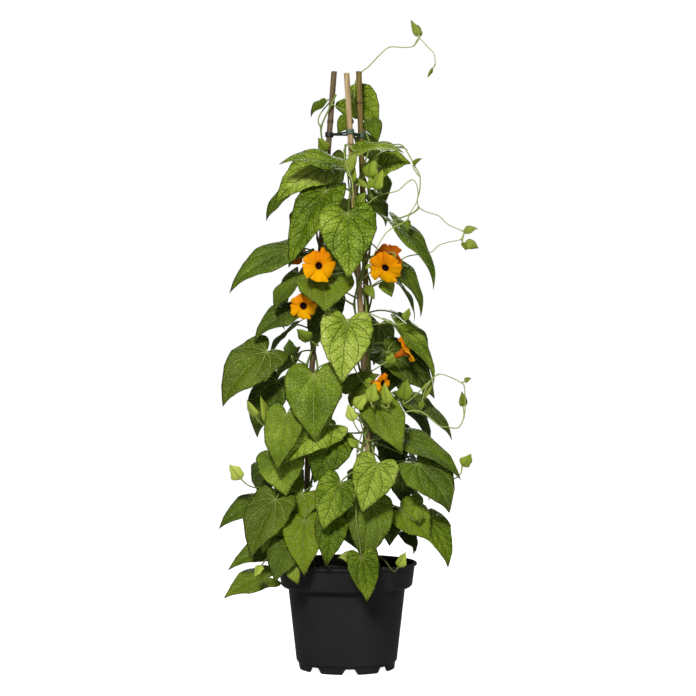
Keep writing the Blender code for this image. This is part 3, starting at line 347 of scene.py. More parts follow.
# The middle line: straight from stalk to tip, plus an arch off the face and a sag in the blade's own plane,
# both as 4 s (1 - s)
def midrib(leaf, s):
    sag = leaf["across"] * leaf["across"][2] * abs(leaf["across"][2]) * leafSet["bow"]
    lift = (leaf["normal"] * leafSet["arch"] + sag) * leaf["long"]
    s = np.asarray(s, dtype=float)[..., None]
    return leaf["base"] + leaf["span"] * s + lift * 4 * s * (1 - s)


def leafHalf(leaf):
    return np.array(leafSet["half"] if leaf["width"] > leafSet["youngWidth"] else leafSet["youngHalf"])


# The rows of leaves on the back and the flanks, hanging outward and down
def backItems():
    b = backSet
    found = []
    for row, height in enumerate(b["heights"]):
        for k in range(b["leaves"][row]):
            share = (k + 0.5 + 0.5 * (row % 2 - 0.5)) / b["leaves"][row]
            middle = b["arc"][0] + (b["arc"][1] - b["arc"][0]) * share
            angle = math.radians(middle + draw.uniform(-b["stray"], b["stray"]))
            out = np.array((math.cos(angle), math.sin(angle), 0.0))
            reach = b["reach"][row] * draw.uniform(b["near"], 1.0)
            length = draw.uniform(*b["length"]) * (b["smallShare"] if height > b["smallAbove"] else 1.0)
            fall = draw.uniform(*b["fall"])
            tip = out * reach + upward * (height + draw.uniform(*b["drop"]))
            swing = np.array((-out[1], out[0], 0.0)) * draw.uniform(-b["swing"], b["swing"])
            inward = upward * math.sin(math.radians(fall)) - out * math.cos(math.radians(fall))
            base = tip + inward * length + swing
            turn = math.degrees(math.atan2(out[0], -out[1]))
            width = length * b["width"]
            found.append(leafItem(f"back_{row}_{k}", base, tip, width, turn, 90 - fall, b["tone"], 0.0))
    return [leaf for leaf in found if leaf["name"] not in b["open"]]


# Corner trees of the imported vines, to look up where a leaf, pod or shoot stands
def cornerTree(node):
    co = np.array([v.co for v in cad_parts[node].data.vertices])
    co = np.unique(np.round(co, 7), axis=0)
    tree = KDTree(len(co))
    for number, corner in enumerate(co):
        tree.insert(corner, number)
    tree.balance()
    return tree


# The shift that puts a leaf's tip and rim corners on corners of a vine, nearest first
def findLeaf(leaf, trees):
    half = leafHalf(leaf)
    out = half[:, 1:] * leaf["width"] / 2
    rim = [midrib(leaf, half[:, 0]) + sign * out * leaf["across"] + out * leafSet["fold"] * leaf["normal"]
           for sign in (1, -1)]
    corners = np.concatenate(rim)[[1, -2, 3, -1]]
    tip = leaf["base"] + leaf["span"]
    spots = []
    for stem, tree in enumerate(trees):
        near = tree.find_range(tip, backSet["search"])
        spots += [(distance, stem, np.array(spot)) for spot, _, distance in near]
    for _, stem, spot in sorted(spots, key=lambda found: found[0]):
        if all(trees[stem].find(corner + spot - tip)[2] < stalkSet["match"] for corner in corners):
            return stem, spot - tip
    return None, None


# How far corners stand from where they would if a tube of these radii ran through the points, and on
# which vine
def ringMiss(points, radii, trees):
    best = (1.0, None)
    for stem, tree in enumerate(trees):
        miss = 0.0
        for point, radius in zip(points, radii):
            near = tree.find_n(point, 3)
            miss = max(miss, *(abs(found[2] - radius) for found in near))
            if miss > best[0]:
                break
        best = min(best, (miss, stem), key=lambda one: one[0])
    return best


def shifted(item, step):
    return item | {key: item[key] + step for key in ("base", "tip", "path") if key in item}


# A pod or shoot stands forward of its row in the table by whole steps: the step whose rings the vines have
def findForward(item, points, radii, trees):
    best = (1.0, None, 0.0)
    for count in range(stalkSet["forwardTries"]):
        step = np.array((0.0, -stalkSet["forward"] * count, 0.0))
        miss, stem = ringMiss(points + step, radii, trees)
        if miss < best[0]:
            best = (miss, stem, step)
    return shifted(item, best[2]) | {"stem": best[1]}


# Where an item's stalk ends, and the directions that it may come in by
def stalkEnd(item):
    if item["kind"] == "leaf":
        along = item["span"] / item["long"]
        return item["base"], [unit(along + item["normal"] * lift) for lift in stalkSet["leafWays"]]
    if item["kind"] == "shoot":
        return item["path"][0], [unit(item["path"][1] - item["path"][0])]
    along = unit(item["tip"] - item["base"])
    side = unit(np.cross(along, (0.1, 0.0, 1.0)))
    over = np.cross(side, along)
    leans = [unit(along + stalkSet["podWay"] * lean) for lean in (over, -over, side, -side)]
    return item["base"], [along] + leans


# The stalk that the vine has for an item: the curve from one of its stem's joints whose rings stand there
def findStalk(item, joints, tree):
    s = stalkSet
    end, ways = stalkEnd(item)
    radius = s["youngRadius"]
    if item["kind"] == "leaf" and item["width"] >= leafSet["youngWidth"]:
        radius = s["radius"]
    ringRadius = s["shootRadius"] if item["kind"] == "shoot" else radius
    order = [joint for joint in joints if joint["stem"] == item["stem"]]
    order.sort(key=lambda joint: np.linalg.norm(joint["point"] - end))
    best = (-1, None)
    for joint in order:
        start = joint["point"]
        span = np.linalg.norm(end - start)
        if span < s["shortest"]:
            continue
        steps = next(count for length, count in s["steps"] if span < length)
        for bend in s["bends"]:
            for way in ways:
                for rise in s["rises"]:
                    out = unit(joint["out"] + unit(end - start) * s["pull"] + upward * rise)
                    handles = (start, start + out * span * bend, end - way * span * bend, end)
                    score = 0
                    for point in cubic(*handles, steps)[1:-1]:
                        near = tree.find_n(point, 3)
                        score += sum(abs(found[2] - ringRadius) < s["match"] for found in near)
                        if not score:
                            break
                    score /= steps - 1
                    if score > best[0]:
                        best = (score, handles)
                    if score >= 3:
                        return handles, radius
    return best[1], radius


# Leaves: name, stalk end, tip, width, turn to the right and lean upward in degrees, lengths in mm, then
# tone from 0, darkest, to 1, palest, which is partly the leaf's own green and partly painted light and shade
# as each leaf is lit or shaded, and how much painted glow of light coming through the leaf it shows
leafRows = [
    ("top_round", (1, 26, 716), (39, 28, 684), 50, -5, 15, 0.64, 0.2),
    ("top_between", (3, 4, 688), (-11, 2, 667), 21, -10, 15, 0.46, 0),
    ("top_low", (24, 20, 688), (34, 16, 658), 24, 10, 15, 0.42, 0),
    ("top_left", (-20, 14, 711), (-41, 13, 690), 21, -20, 55, 0.42, 0),
    ("right_thin", (46, -5, 646), (77, -8, 647), 25, 20, 75, 0.5, 0),
    ("right_round", (44, -20, 624), (79, -30, 628), 38, 10, 30, 0.74, 0.2),
    ("right_top", (12, -28, 641), (70, -38, 640), 42, 0, 62, 0.6, 0.1),
    ("back_tip", (-72, 8, 597), (-103, 12, 559), 24, -40, 20, 0.4, 0),
    ("upper_left", (-27, -18, 624), (-88, -42, 578), 56, -14, 30, 0.76, 0.1),
    ("arm_left", (-3, -28, 620), (-82, -48, 627), 47, 0, 55, 0.56, 0),
    ("right_dark", (28, -15, 588), (51, -20, 551), 35, 50, 20, 0.29, 0),
    ("long_left_low", (-67, -25, 519), (-146, -32, 469), 46, -10, 42, 0.38, 0),
    ("long_left", (-25, -40, 592), (-70, -64, 498), 52, -15, 20, 0.46, 0.1),
    ("heart_top", (1, -62, 562), (4, -82, 482), 69, 0, 12, 0.6, 0),
    ("right_long", (59, -30, 553), (112, -38, 473), 47, 55, 30, 0.42, 0),
    ("right_long_low", (57, -20, 506), (96, -26, 439), 42, 55, 25, 0.34, 0.1),
    ("under_bloom", (-28, -62, 484), (-25, -90, 443), 72, 5, 25, 0.37, 0.45),
    ("small_left", (-61, -40, 484), (-90, -50, 443), 40, -45, 30, 0.42, 0.1),
    ("dip_left", (-62, -36, 446), (-116, -42, 408), 44, -25, 45, 0.32, 0),
    ("darkest_left", (-86, -18, 358), (-115, -26, 290), 55, -25, 15, 0.28, 0),
    ("big_left", (-98, -38, 394), (-155, -54, 331), 62, -5, 30, 0.29, 0.15),
    ("heart_middle", (1, -76, 432), (-7, -96, 356), 64, 0, 14, 0.82, 0),
    ("behind_heart", (4, -40, 343), (40, -46, 367), 34, 20, 30, 0.34, 0.1),
    ("right_arm", (61, -30, 428), (112, -38, 356), 47, 58, 30, 0.57, 0),
    ("right_big", (50, -22, 394), (110, -30, 338), 57, 30, 22, 0.25, 0),
    ("heart_low", (-39, -72, 367), (-40, -92, 286), 72, -5, 12, 0.46, 0),
    ("fold_left", (-72, -60, 319), (-84, -78, 252), 50, -15, 15, 0.5, 0.1),
    ("fold_right", (-21, -70, 306), (-75, -88, 259), 51, 0, 25, 0.7, 0.1),
    ("right_bright", (35, -70, 332), (66, -86, 271), 50, 10, 15, 0.54, 0.25),
    ("right_dark_long", (72, -22, 337), (105, -28, 278), 37, 55, 12, 0.22, 0),
    ("right_side", (76, -50, 335), (132, -54, 289), 39, 45, 40, 0.3, 0),
    ("right_middle", (71, -48, 288), (141, -54, 239), 44, 38, 38, 0.36, 0),
    ("right_arrow", (86, -58, 258), (128, -68, 201), 66, 18, 25, 0.35, 0),
    ("dark_left", (-98, -20, 252), (-109, -28, 219), 40, -30, 10, 0.21, 0),
    ("plate_left", (-81, -56, 268), (-75, -76, 219), 61, -10, 20, 0.49, 0),
    ("plate_middle", (-16, -64, 292), (-38, -80, 236), 58, 0, 15, 0.4, 0),
    ("dark_inside", (68, -25, 248), (68, -30, 206), 42, 15, 10, 0.18, 0),
    ("left_dark", (-106, -20, 208), (-159, -30, 177), 36, -20, 35, 0.34, 0),
    ("left_under", (-54, -55, 221), (-104, -64, 146), 54, -10, 20, 0.46, 0.5),
    ("left_front", (-86, -70, 215), (-118, -86, 147), 56, -10, 22, 0.27, 0.2),
    ("light_right", (37, -86, 260), (17, -106, 202), 55, 8, 14, 0.7, 0),
    ("centre_blade", (-7, -80, 237), (-31, -98, 182), 51, 5, 18, 0.52, 0),
    ("low_right", (29, -72, 211), (20, -92, 139), 57, 5, 10, 0.32, 0.1),
    ("low_centre", (-17, -72, 195), (-25, -92, 137), 41, 0, 10, 0.4, 0),
    ("dark_low", (50, -40, 197), (53, -50, 157), 39, 10, 10, 0.2, 0),
    ("right_lit", (66, -50, 201), (102, -60, 164), 51, 10, 30, 0.5, 0.5),
    ("right_low", (100, -40, 189), (127, -50, 131), 42, 32, 20, 0.44, 0.1),
    ("dark_low_right", (68, -30, 172), (87, -36, 149), 24, 40, 20, 0.2, 0),
    ("low_left", (-51, -62, 190), (-52, -84, 126), 51, -5, 14, 0.46, 0.55),
    ("low_left_two", (-72, -66, 160), (-87, -84, 119), 41, -5, 20, 0.3, 0),
    ("left_low", (-76, -44, 157), (-146, -54, 128), 42, -5, 48, 0.42, 0.1),
    ("bottom_left", (-96, -46, 118), (-150, -58, 94), 39, 0, 45, 0.48, 0.2),
    ("over_rim", (18, -94, 149), (26, -99, 95), 38, 5, 6, 0.52, 0.1),
    ("inner_top", (-21, -10, 459), (-43, -14, 396), 44, -10, 20, 0.2, 0),
    ("inner_right", (66, -8, 396), (48, -12, 340), 42, 15, 20, 0.2, 0),
    ("inner_left", (-46, -20, 336), (-58, -26, 284), 42, -15, 15, 0.2, 0),
    ("inner_side", (60, -15, 296), (48, -20, 234), 44, 20, 15, 0.2, 0),
    ("inner_low", (-2, -40, 224), (10, -48, 153), 46, 0, 12, 0.2, 0),
    ("young_fold", (9, -56, 602), (29, -60, 592), 13, 10, 40, 0.8, 0.1),
    ("young_start", (82, -38, 625), (93, -40, 632), 7, 0, 30, 0.8, 0.1),
    ("young_bright", (12, -60, 570), (24, -62, 590), 15, 0, 20, 0.8, 0.1),
    ("young_up", (1, -46, 614), (13, -48, 638), 14, 10, 15, 0.8, 0.1),
    ("young_fold_two", (24, -54, 474), (34, -56, 458), 12, 0, 20, 0.8, 0.1),
    ("young_right", (95, -30, 262), (134, -36, 241), 17, 30, 50, 0.8, 0.1),
    ("young_middle", (46, -56, 480), (55, -62, 461), 20, 5, 10, 0.8, 0.1),
    ("young_low", (10, -90, 144), (-11, -96, 148), 17, 0, 20, 0.8, 0.1),
    ("young_left", (-68, -86, 135), (-58, -94, 114), 18, 0, 10, 0.8, 0.1),
    ("young_tip", (89, -3, 789), (80, -4, 809), 9, -20, 20, 0.8, 0.1),
    ("young_tip_two", (92, 2, 790), (88, 4, 805), 8, 40, 20, 0.8, 0.1),
    ("young_loop", (146, -23, 542), (163, -22, 547), 14, 0, 45, 0.8, 0.1),
    ("young_reach", (146, -27, 527), (163, -28, 522), 15, 0, 20, 0.8, 0.1),
    ("young_reach_two", (143, -29, 529), (147, -32, 519), 6, 0, 10, 0.8, 0.1),
    ("young_side", (143, -46, 328), (141, -48, 346), 11, 10, 10, 0.8, 0.1),
    ("young_side_two", (145, -46, 358), (153, -46, 362), 7, 0, 30, 0.8, 0.1),
    ("young_hang", (100, -61, 355), (94, -62, 335), 12, -20, 10, 0.8, 0.1),
]

# Bud pods, each two bracts shut round a bud: stalk end, tip, width, in mm, and tone
podRows = [
    ((-44, -58, 408), (-61, -62, 422), 20, 0.5),
    ((-68, -35, 390), (-71, -38, 410), 16, 0.25),
    ((-110, -58, 314), (-122, -62, 336), 14, 0.72),
    ((-94, -60, 306), (-105, -64, 341), 16, 0.68),
    ((35, -42, 591), (44, -44, 617), 22, 0.64),
    ((27, -34, 608), (32, -34, 635), 20, 0.58),
    ((8, -45, 600), (10, -46, 620), 11, 0.6),
    ((10, -82, 327), (24, -84, 344), 16, 0.72),
    ((8, -86, 311), (1, -88, 331), 12, 0.88),
    ((29, -88, 334), (33, -90, 358), 15, 0.66),
    ((50, -86, 331), (45, -90, 357), 14, 0.68),
    ((69, -55, 335), (74, -58, 361), 18, 0.5),
    ((89, -64, 189), (85, -68, 207), 13, 0.55),
    ((62, -92, 136), (71, -92, 154), 15, 0.7),
    ((142, -40, 254), (153, -42, 269), 14, 0.62),
    ((-129, -52, 239), (-143, -54, 257), 15, 0.85),
    ((-102, -90, 138), (-111, -92, 124), 13, 0.8),
    ((-25, -4, 644), (-36, -4, 661), 16, 0.5),
    ((13, -78, 280), (1, -80, 290), 11, 0.62),
    ((71, -52, 433), (77, -54, 448), 9, 0.55),
    ((75, -50, 556), (75, -50, 543), 7, 0.5),
    ((28, -84, 500), (22, -84, 494), 7, 0.6),
    ((107, -11, 747), (100, -13, 735), 6, 0.55),
    ((92, -62, 334), (90, -62, 323), 7, 0.5),
    ((28, -46, 594), (30, -46, 608), 9, 0.55),
]

# Blooms: centre in mm, turn to the right and lean upward in degrees, radius in mm
bloomRows = [
    ((-33, -92, 498), 20, 5, 21),
    ((46, -90, 495), -28, -27, 21),
    ((52, -46, 508), 150, 20, 20),
    ((-53, -47, 450), -15, -10, 17),
    ((-62, -22, 517), -125, 5, 16),
    ((74, -62, 397), 80, 30, 18),
    ((44, -66, 356), 50, 0, 12),
    ((10, 86, 408), 168, 5, 20),
    ((-44, 84, 352), -155, 0, 20),
    ((6, 80, 540), 178, 8, 19),
]

# Free shoots, root first, in mm
shootRows = [
    [(9, 8, 714), (11, 17, 734), (19, 24, 747), (28, 22, 754), (40, 16, 766), (53, 10, 776), (71, 4, 775),
     (83, 0, 776), (90, -2, 785), (101, -6, 774), (109, -9, 764), (110, -10, 752)],
    [(84, -34, 623), (90, -36, 611), (90, -36, 594), (87, -34, 581), (89, -32, 573), (96, -30, 568),
     (114, -28, 562), (125, -26, 552), (143, -24, 544)],
    [(18, -46, 569), (31, -48, 580), (42, -46, 587), (62, -42, 592), (74, -42, 602), (82, -46, 605),
     (87, -47, 594), (86, -48, 579), (77, -50, 563)],
    [(70, -70, 552), (51, -80, 541), (41, -84, 528), (31, -84, 508)],
    [(66, -36, 507), (78, -30, 513), (103, -26, 517), (116, -26, 527), (141, -27, 533)],
    [(97, -66, 318), (112, -64, 305), (122, -58, 303), (136, -52, 302), (143, -46, 314), (145, -44, 329),
     (144, -44, 350), (141, -45, 356), (125, -50, 364), (112, -56, 367), (102, -60, 359)],
    [(14, -44, 318), (20, -48, 298), (27, -54, 276), (31, -60, 258)],
    [(26, -40, 316), (19, -46, 296), (13, -50, 274), (12, -56, 256)],
    [(8, -66, 584), (6, -64, 602), (-1, -60, 622), (-4, -56, 640)],
]


# The palmate veins leave a leaf's base every "apart" radians and bow back to its tip: their number is
# angle / (apart (1 - bow radius^2)). Between two of them the side veins lean out, more in each strip than
# in the last.
veinSet = {"apart": math.radians(36), "bow": 1.1, "least": 0.08, "lean": math.radians(45),
           "leanStep": math.radians(33), "rung": 0.13, "shift": 0.4,
           "wander": 0.035, "cells": 18.0}  # how far the drawn veins stray, and the net's cells along a leaf


# How far a spot on the vein chart is from the palmate veins and the side veins, as 0 on a vein and 1
# between two
def veinRelief(s, w):
    c = veinSet
    side = np.abs(w)
    radius = np.hypot(s, side)
    number = np.arctan2(side, s) / (c["apart"] * np.maximum(c["least"], 1 - c["bow"] * radius ** 2))
    lean = c["lean"] + c["leanStep"] * np.floor(number)
    across = s * np.sin(lean) - side * np.cos(lean)
    return np.abs(np.sin(np.pi * number)), np.abs(np.sin(np.pi * (across / c["rung"] + c["shift"] * (w > 0))))


# A leaf: rings shrink from its outline to a point near the stalk, over and under. Height off the middle
# line is the fold of the margins, pillows between veins, a wave along the rim and a droop of the tip.
def leafShape(leaf, tone):
    c = leafSet
    young = leaf["width"] <= c["youngWidth"]
    rays = c["youngRays"] if young else c["rays"]
    count = c["youngRings"] if young else c["rings"]
    curve = through(np.concatenate(([(0.0, 0.0)], leafHalf(leaf), c["tail"])), c["curveSteps"])
    curve[:, 1] = np.maximum(curve[:, 1], 0.0)
    steps = np.hypot(*(np.diff(curve, axis=0) * (leaf["long"], leaf["width"] / 2)).T)
    run = np.concatenate(([0.0], np.cumsum(steps))) / steps.sum()
    q = np.linspace(0, 1, rays + 1)
    s = np.interp(q, run, curve[:, 0])
    w = np.interp(q, run, curve[:, 1])
    phase = shade.uniform(0, 3)
    tooth = (1 - np.abs(np.sin(np.pi * c["teeth"] * q + phase))) ** 2 * np.sin(np.pi * q) ** 0.6
    w = w + (c["tooth"] if not young else 0.0) * tooth
    s = np.concatenate((s, s[-2:0:-1]))
    w = np.concatenate((w, -w[-2:0:-1] * shade.uniform(0.95, 1.0)))
    share = (np.arange(1, count + 1) / count)[:, None]
    gs = c["centre"] + (s - c["centre"]) * share
    gw = w * share
    size = min(1.0, leaf["width"] / c["fullWidth"])
    first, second = veinRelief(gs, gw * c["chart"])
    fade = np.clip(np.hypot(gs, gw * c["chart"]) / c["pillowFrom"], 0, 1) * (1 - share ** 5)
    deeper = c["deeper"] * shade.uniform(-0.1, 1.0)
    fold = np.sqrt(gw ** 2 + c["crease"] ** 2) - c["crease"]
    height = leaf["width"] / 2 * (c["fold"] + deeper * (1 - gw ** 2)) * fold
    pillow = c["mainPillow"] * first + c["sidePillow"] * second - c["sink"]
    height = height + c["pillow"] * size * fade * pillow
    turn = shade.uniform(0, math.tau)
    wave = np.sin(gs * c["waves"] + turn + c["waveTurn"] * np.sign(gw))
    height = height + c["wave"] * size * gw ** 2 * wave
    tip = np.clip((gs - c["droopFrom"]) / (1 - c["droopFrom"]), 0, 1) ** 2
    height = height - c["droop"] * leaf["long"] * tip
    side = gw * leaf["width"] / 2 + c["hook"] * leaf["long"] * shade.uniform(-1, 1) * tip
    surface = midrib(leaf, gs) + leaf["across"] * side[..., None] + leaf["normal"] * height[..., None]
    thick = leaf["normal"] * (c["thick"] / 2 * (1 - share ** 3))[..., None]
    chart = np.stack((gs, gw * c["chart"]), axis=-1)
    # painted light and shade: one half and one end of the blade lighter than the other, as light falls on its
    # fold
    tones = tone + c["halves"] * shade.uniform(-1, 1) * gw + c["ends"] * shade.uniform(-1, 1) * (gs - 0.4)
    tones = np.concatenate((tones.ravel(), tones[-2::-1].ravel(), (tone, tone)))
    pale = float(tone < c["paleUnder"] and leaf["name"] not in c["darkVeined"])
    made = closedTube(np.concatenate((surface + thick, (surface - thick)[-2::-1])),
                      uv=np.concatenate((chart, chart[-2::-1])), tone=tones, warm=leaf["warm"],
                      pale=c["youngPale"] if young else pale)
    under = np.arange(len(made["quads"])) >= (count - 1) * len(s), np.arange(2 * len(s)) >= len(s)
    made["slots"] = np.concatenate(under)
    return made


# A stalk, swollen where it leaves the stem
def stalkShape(points, radii, **marks):
    radii[:3] *= stalkSet["swell"]
    return pipe(points, radii, stalkSet["sides"], slot=2, **marks)


# A leaf's stalk, running on as a thinning rib under the blade
def leafStalk(leaf, handles, radius, leafTone):
    byThick, byWidth = stalkSet["ribUnder"]
    under = leaf["normal"] * (leafSet["thick"] * byThick + leaf["width"] * byWidth)
    rib = midrib(leaf, np.array(stalkSet["rib"])) - under
    arc = cubic(*handles, stalkSet["fineSteps"])
    radii = np.concatenate((np.full(len(arc), radius), radius * np.array(stalkSet["ribRadius"])))
    plain, follow = stalkSet["leafTone"]
    return stalkShape(np.concatenate((arc, rib)), radii, tone=plain + leafTone * follow, warm=leaf["warm"])


# A pod's stalk, which is stouter where it runs into the pod
def podStalk(pod, handles, radius):
    into = pod["base"] + (pod["tip"] - pod["base"]) * podSet["stalkInto"]
    points = np.concatenate((cubic(*handles, stalkSet["fineSteps"]), into[None]))
    radii = np.full(len(points), radius)
    radii[-2:] *= podSet["stalkSwell"]
    return stalkShape(points, radii, tone=podSet["stalkTone"])


podSet = {
    # girth along a bract pair, as share of length and of half width
    "girth": [(0, 0.16), (0.04, 0.48), (0.11, 0.80), (0.22, 0.98), (0.36, 1.0), (0.54, 0.86), (0.72, 0.58),
              (0.87, 0.27), (0.96, 0.09), (1, 0.03)],
    "cupGirth": [(0, 0.2), (0.08, 0.5), (0.2, 0.8), (0.4, 0.98), (0.65, 1.0), (0.88, 0.86), (1, 0.74)],
    "flat": 0.42, "keel": 0.16, "split": 0.15, "rows": 18, "sides": 28, "turn": 65, "ruffle": 0.14,
    "bend": 0.06, "cupTone": 0.6, "stalkInto": 0.08, "stalkSwell": 1.3, "stalkTone": 0.66,
    "ringShares": (0.24, 0.6), "ringRadii": (0.9, 1.0),  # two rings of the model, which a pod is found by
}


# Two bracts shut face to face: round in section, drawn out to a keel on each side and in to a split
# between them
def podShape(pod):
    c = podSet
    v = np.linspace(0, 1, c["rows"]) ** 0.9
    wide = np.interp(v, *np.array(pod["girth"]).T) * pod["width"] / 2
    span = pod["tip"] - pod["base"]
    along = unit(span)
    ahead = facing(shade.uniform(-c["turn"], c["turn"]), 0)
    ahead = unit(ahead - along * np.dot(ahead, along))
    across = np.cross(ahead, along)
    u = turns(c["sides"])
    out = 1 + c["keel"] * np.abs(np.cos(u)) ** 8 - c["split"] * np.exp(-((np.abs(np.sin(u)) - 1) / 0.03) ** 2)
    ruffle = 1 + c["ruffle"] * np.sin(v[:, None] * 10 + u + shade.uniform(0, 6)) * np.abs(np.cos(u)) ** 6
    ring = across * (ruffle * out * np.cos(u))[..., None] + ahead * (out * np.sin(u) * c["flat"])[:, None]
    bend = across * np.sin(np.pi * v)[:, None] * pod["width"] * c["bend"] * shade.uniform(-1, 1)
    rings = (pod["base"] + span * v[:, None] + bend)[:, None] + ring * wide[:, None, None]
    return closedTube(rings, tone=pod["tone"], slot=3)


# The two ring middles and radii of a pod in the model
def podRings(pod):
    points = pod["base"] + (pod["tip"] - pod["base"]) * np.array(podSet["ringShares"])[:, None]
    return points, np.array(podSet["ringRadii"]) * pod["width"] / 2


# A stem: halfway between the twining line and the model's straight stretches. Its radius shrinks evenly
# upward and swells by exp(-(way from the next joint / half width)^2).
def stemShape(number):
    c = stemSet
    stem = c["stems"][number]
    coarse = stemHeights(stem)
    heights = np.linspace(coarse[0], coarse[-1], round((coarse[-1] - coarse[0]) / c["fineStep"]) + 1)
    taper = 1 - c["taper"] * (heights - c["foot"]) / c["length"]
    knots = np.array([joint["point"][2] for joint in joints if joint["stem"] == number])
    swell = np.exp(-(np.abs(heights[:, None] - knots).min(axis=1) / c["swellHalf"]) ** 2)
    model = stemPoint(stem, coarse)
    straight = np.stack([np.interp(heights, coarse, model[:, axis]) for axis in range(3)], axis=-1)
    line = (stemPoint(stem, heights) + straight) / 2
    return pipe(line, c["radius"] * taper * (1 + c["jointSwell"] * swell), c["sides"], slot=2)


def shootShape(shoot, handles):
    c = stalkSet
    lead = cubic(*handles, c["leadSteps"])[:-1] if handles else shoot["path"][:0]
    line = np.concatenate((lead, through(shoot["path"], c["pathSteps"])))
    radii = c["shootRadius"] * np.linspace(*c["shootTaper"], len(line))
    radii[:2] *= c["shootSwell"]
    return pipe(line, radii, c["sides"], tone=c["shootTone"], slot=2)


bloomSet = {
    "throat": 4.6 * mm, "waist": 0.72, "depth": 8 * mm, "tube": 17 * mm,
    "cupLength": 13 * mm, "cupWidth": 11 * mm, "crest": 0.6, "rise": 0.7 * mm, "fall": 1.2 * mm,
    "notch": 0.26, "petals": 5, "petalSides": 26, "turn": 18,
    "spread": 0.95, "cleft": 0.22, "square": 8, "corner": 0.15, "lopsided": 0.08, "stray": 7,
    "uneven": 0.06, "frill": 0.025, "modelSides": 15, "tubeTop": (1.6 * mm, 2.8 * mm), "tubeEnd": 3.4 * mm,
    "wave": 1.3 * mm, "twist": 2.2 * mm, "ripple": 0.7 * mm, "nod": 1.6 * mm,
    # a petal from the throat over its rim and back behind, as shares of the radius and heights in mm
    "petal": [(0.36, 0.45), (0.46, 0.65), (0.56, 0.7), (0.66, 0.68), (0.76, 0.55), (0.85, 0.25),
              (0.93, -0.2), (0.98, -0.65), (1.0, -1.1), (0.985, -1.5), (0.92, -1.4), (0.8, -1.1),
              (0.66, -1.15), (0.52, -1.6), (0.4, -2.3)],
    "behind": [(5.6, -4.2), (4.5, -7), (3.8, -11), (3.4, -17)],  # the tube's reach and height, in mm
    "throatProfile": [(0.25, -4.6), (1.4, -4.5), (2.7, -3.6), (3.6, -2.0), (4.02, -1.0), (3.95, -1.3),
                      (3.6, -4.2), (2.95, -7.6), (0.25, -7.7)],
}


# A bloom from above to behind: rows of (reach, height) run out of the throat, over the petals to the rim
# and back to the tube. With w from -1 to 1 across a petal, the rim's reach is spread (1 + corner w^2 +
# lopsided w) (1 - cleft |w|^square).
def bloomShape(bloom):
    c = bloomSet
    radius = bloom["width"]
    out = bloom["normal"]
    sides = c["petalSides"]
    count = c["petals"] * sides
    t = (np.arange(count) % sides) / sides
    petal = np.arange(count) // sides
    own = shade.uniform(0, math.tau)
    wide = 360 // c["petals"]
    first = petal * wide + c["stray"] * np.sin(petal * 2.4 + own)
    second = (petal + 1) * wide + c["stray"] * np.sin((petal + 1) % c["petals"] * 2.4 + own)
    angle = np.radians(c["turn"] + first + (second - first) * t)
    w = 2 * t - 1
    ease = 1 - np.abs(w) ** c["square"]
    share = c["spread"] * (1 + c["corner"] * w ** 2 + c["lopsided"] * w) * (1 - c["cleft"] * (1 - ease))
    share = share * (1 + c["uneven"] * np.sin(petal * 2.3 + own) * ease)
    share = share + c["frill"] * np.sin(t * 12 + petal * 2.1 + own) * ease
    throat = c["throat"]
    inner = [(throat * c["waist"], -c["depth"]), (throat * 0.8, -5 * mm), (throat * 0.92, -2.4 * mm),
             (throat, -0.7 * mm), (throat + 0.9 * mm, 0.05 * mm)]
    rows = [(np.full(count, reach), np.full(count, height)) for reach, height in inner]
    for f, height in c["petal"]:
        reach = radius * f * (1 - (1 - share) * np.clip((f - 0.3) / 0.6, 0, 1) ** 1.5)
        lift = c["wave"] * f ** 2 * (1.1 * np.sin(np.pi * t) - 0.8 + 0.9 * (t - 0.5) * np.sin(np.pi * t))
        lift = lift + c["ripple"] * f ** 3 * np.sin(t * 13 + petal * 1.3 + own) * ease
        lift = lift + (c["nod"] * np.sin(petal * 1.9 + own) + c["twist"] * w) * f ** 2 * ease
        rows.append((reach, height * mm + lift))
    rows += [(np.full(count, reach * mm), np.full(count, height * mm)) for reach, height in c["behind"]]
    reach = np.array([row[0] for row in rows])
    height = np.array([row[1] for row in rows])
    rings = bloom["centre"] + circle(angle, *sidesOf(out)) * reach[..., None] + out * height[..., None]
    chart = np.stack((np.broadcast_to(petal + t, reach.shape), reach / radius), axis=-1)
    behind = np.repeat(np.arange(len(rows)) >= len(inner) + 9, count)
    # the petals' painted-light mark: 0 at the top of the bloom, painted in shade, to 1 at the bottom
    upper = np.tile(0.5 - 0.5 * np.sin(angle), len(rows))
    return closedTube(rings, uv=chart, tone=np.concatenate((behind, (0.0, 1.0))),
                      warm=np.concatenate((upper, (0.5, 0.5))))


# The dark throat: a dish on a plug, turned round the bloom's axis
def throatShape(bloom):
    profile = through(bloomSet["throatProfile"], 3) * mm
    angle = turns(36)
    spokes = circle(angle, *sidesOf(bloom["normal"]))
    ridge = 1 + 0.03 * np.cos(angle * 10)[None, :] * (profile[:, :1] > 2 * mm)
    reach = profile[:, :1] * ridge
    depth = bloom["normal"] * profile[:, 1, None, None]
    return closedTube(bloom["centre"] + spokes * reach[..., None] + depth)


# Rounds each corner of a profile of (reach, height) by a curve that starts and ends a radius away from it
def rounded(profile, radius, steps=4):
    p = np.asarray(profile, dtype=float)
    before = p[:-2] - p[1:-1]
    after = p[2:] - p[1:-1]
    first = p[1:-1] + unit(before) * np.minimum(radius, 0.45 * np.linalg.norm(before, axis=1))[:, None]
    last = p[1:-1] + unit(after) * np.minimum(radius, 0.45 * np.linalg.norm(after, axis=1))[:, None]
    t = np.linspace(0, 1, steps + 1)[:, None, None]
    arcs = first * (1 - t) ** 2 + 2 * p[1:-1] * t * (1 - t) + last * t ** 2
    return np.concatenate((p[:1], np.swapaxes(arcs, 0, 1).reshape(-1, 2), p[-1:]))


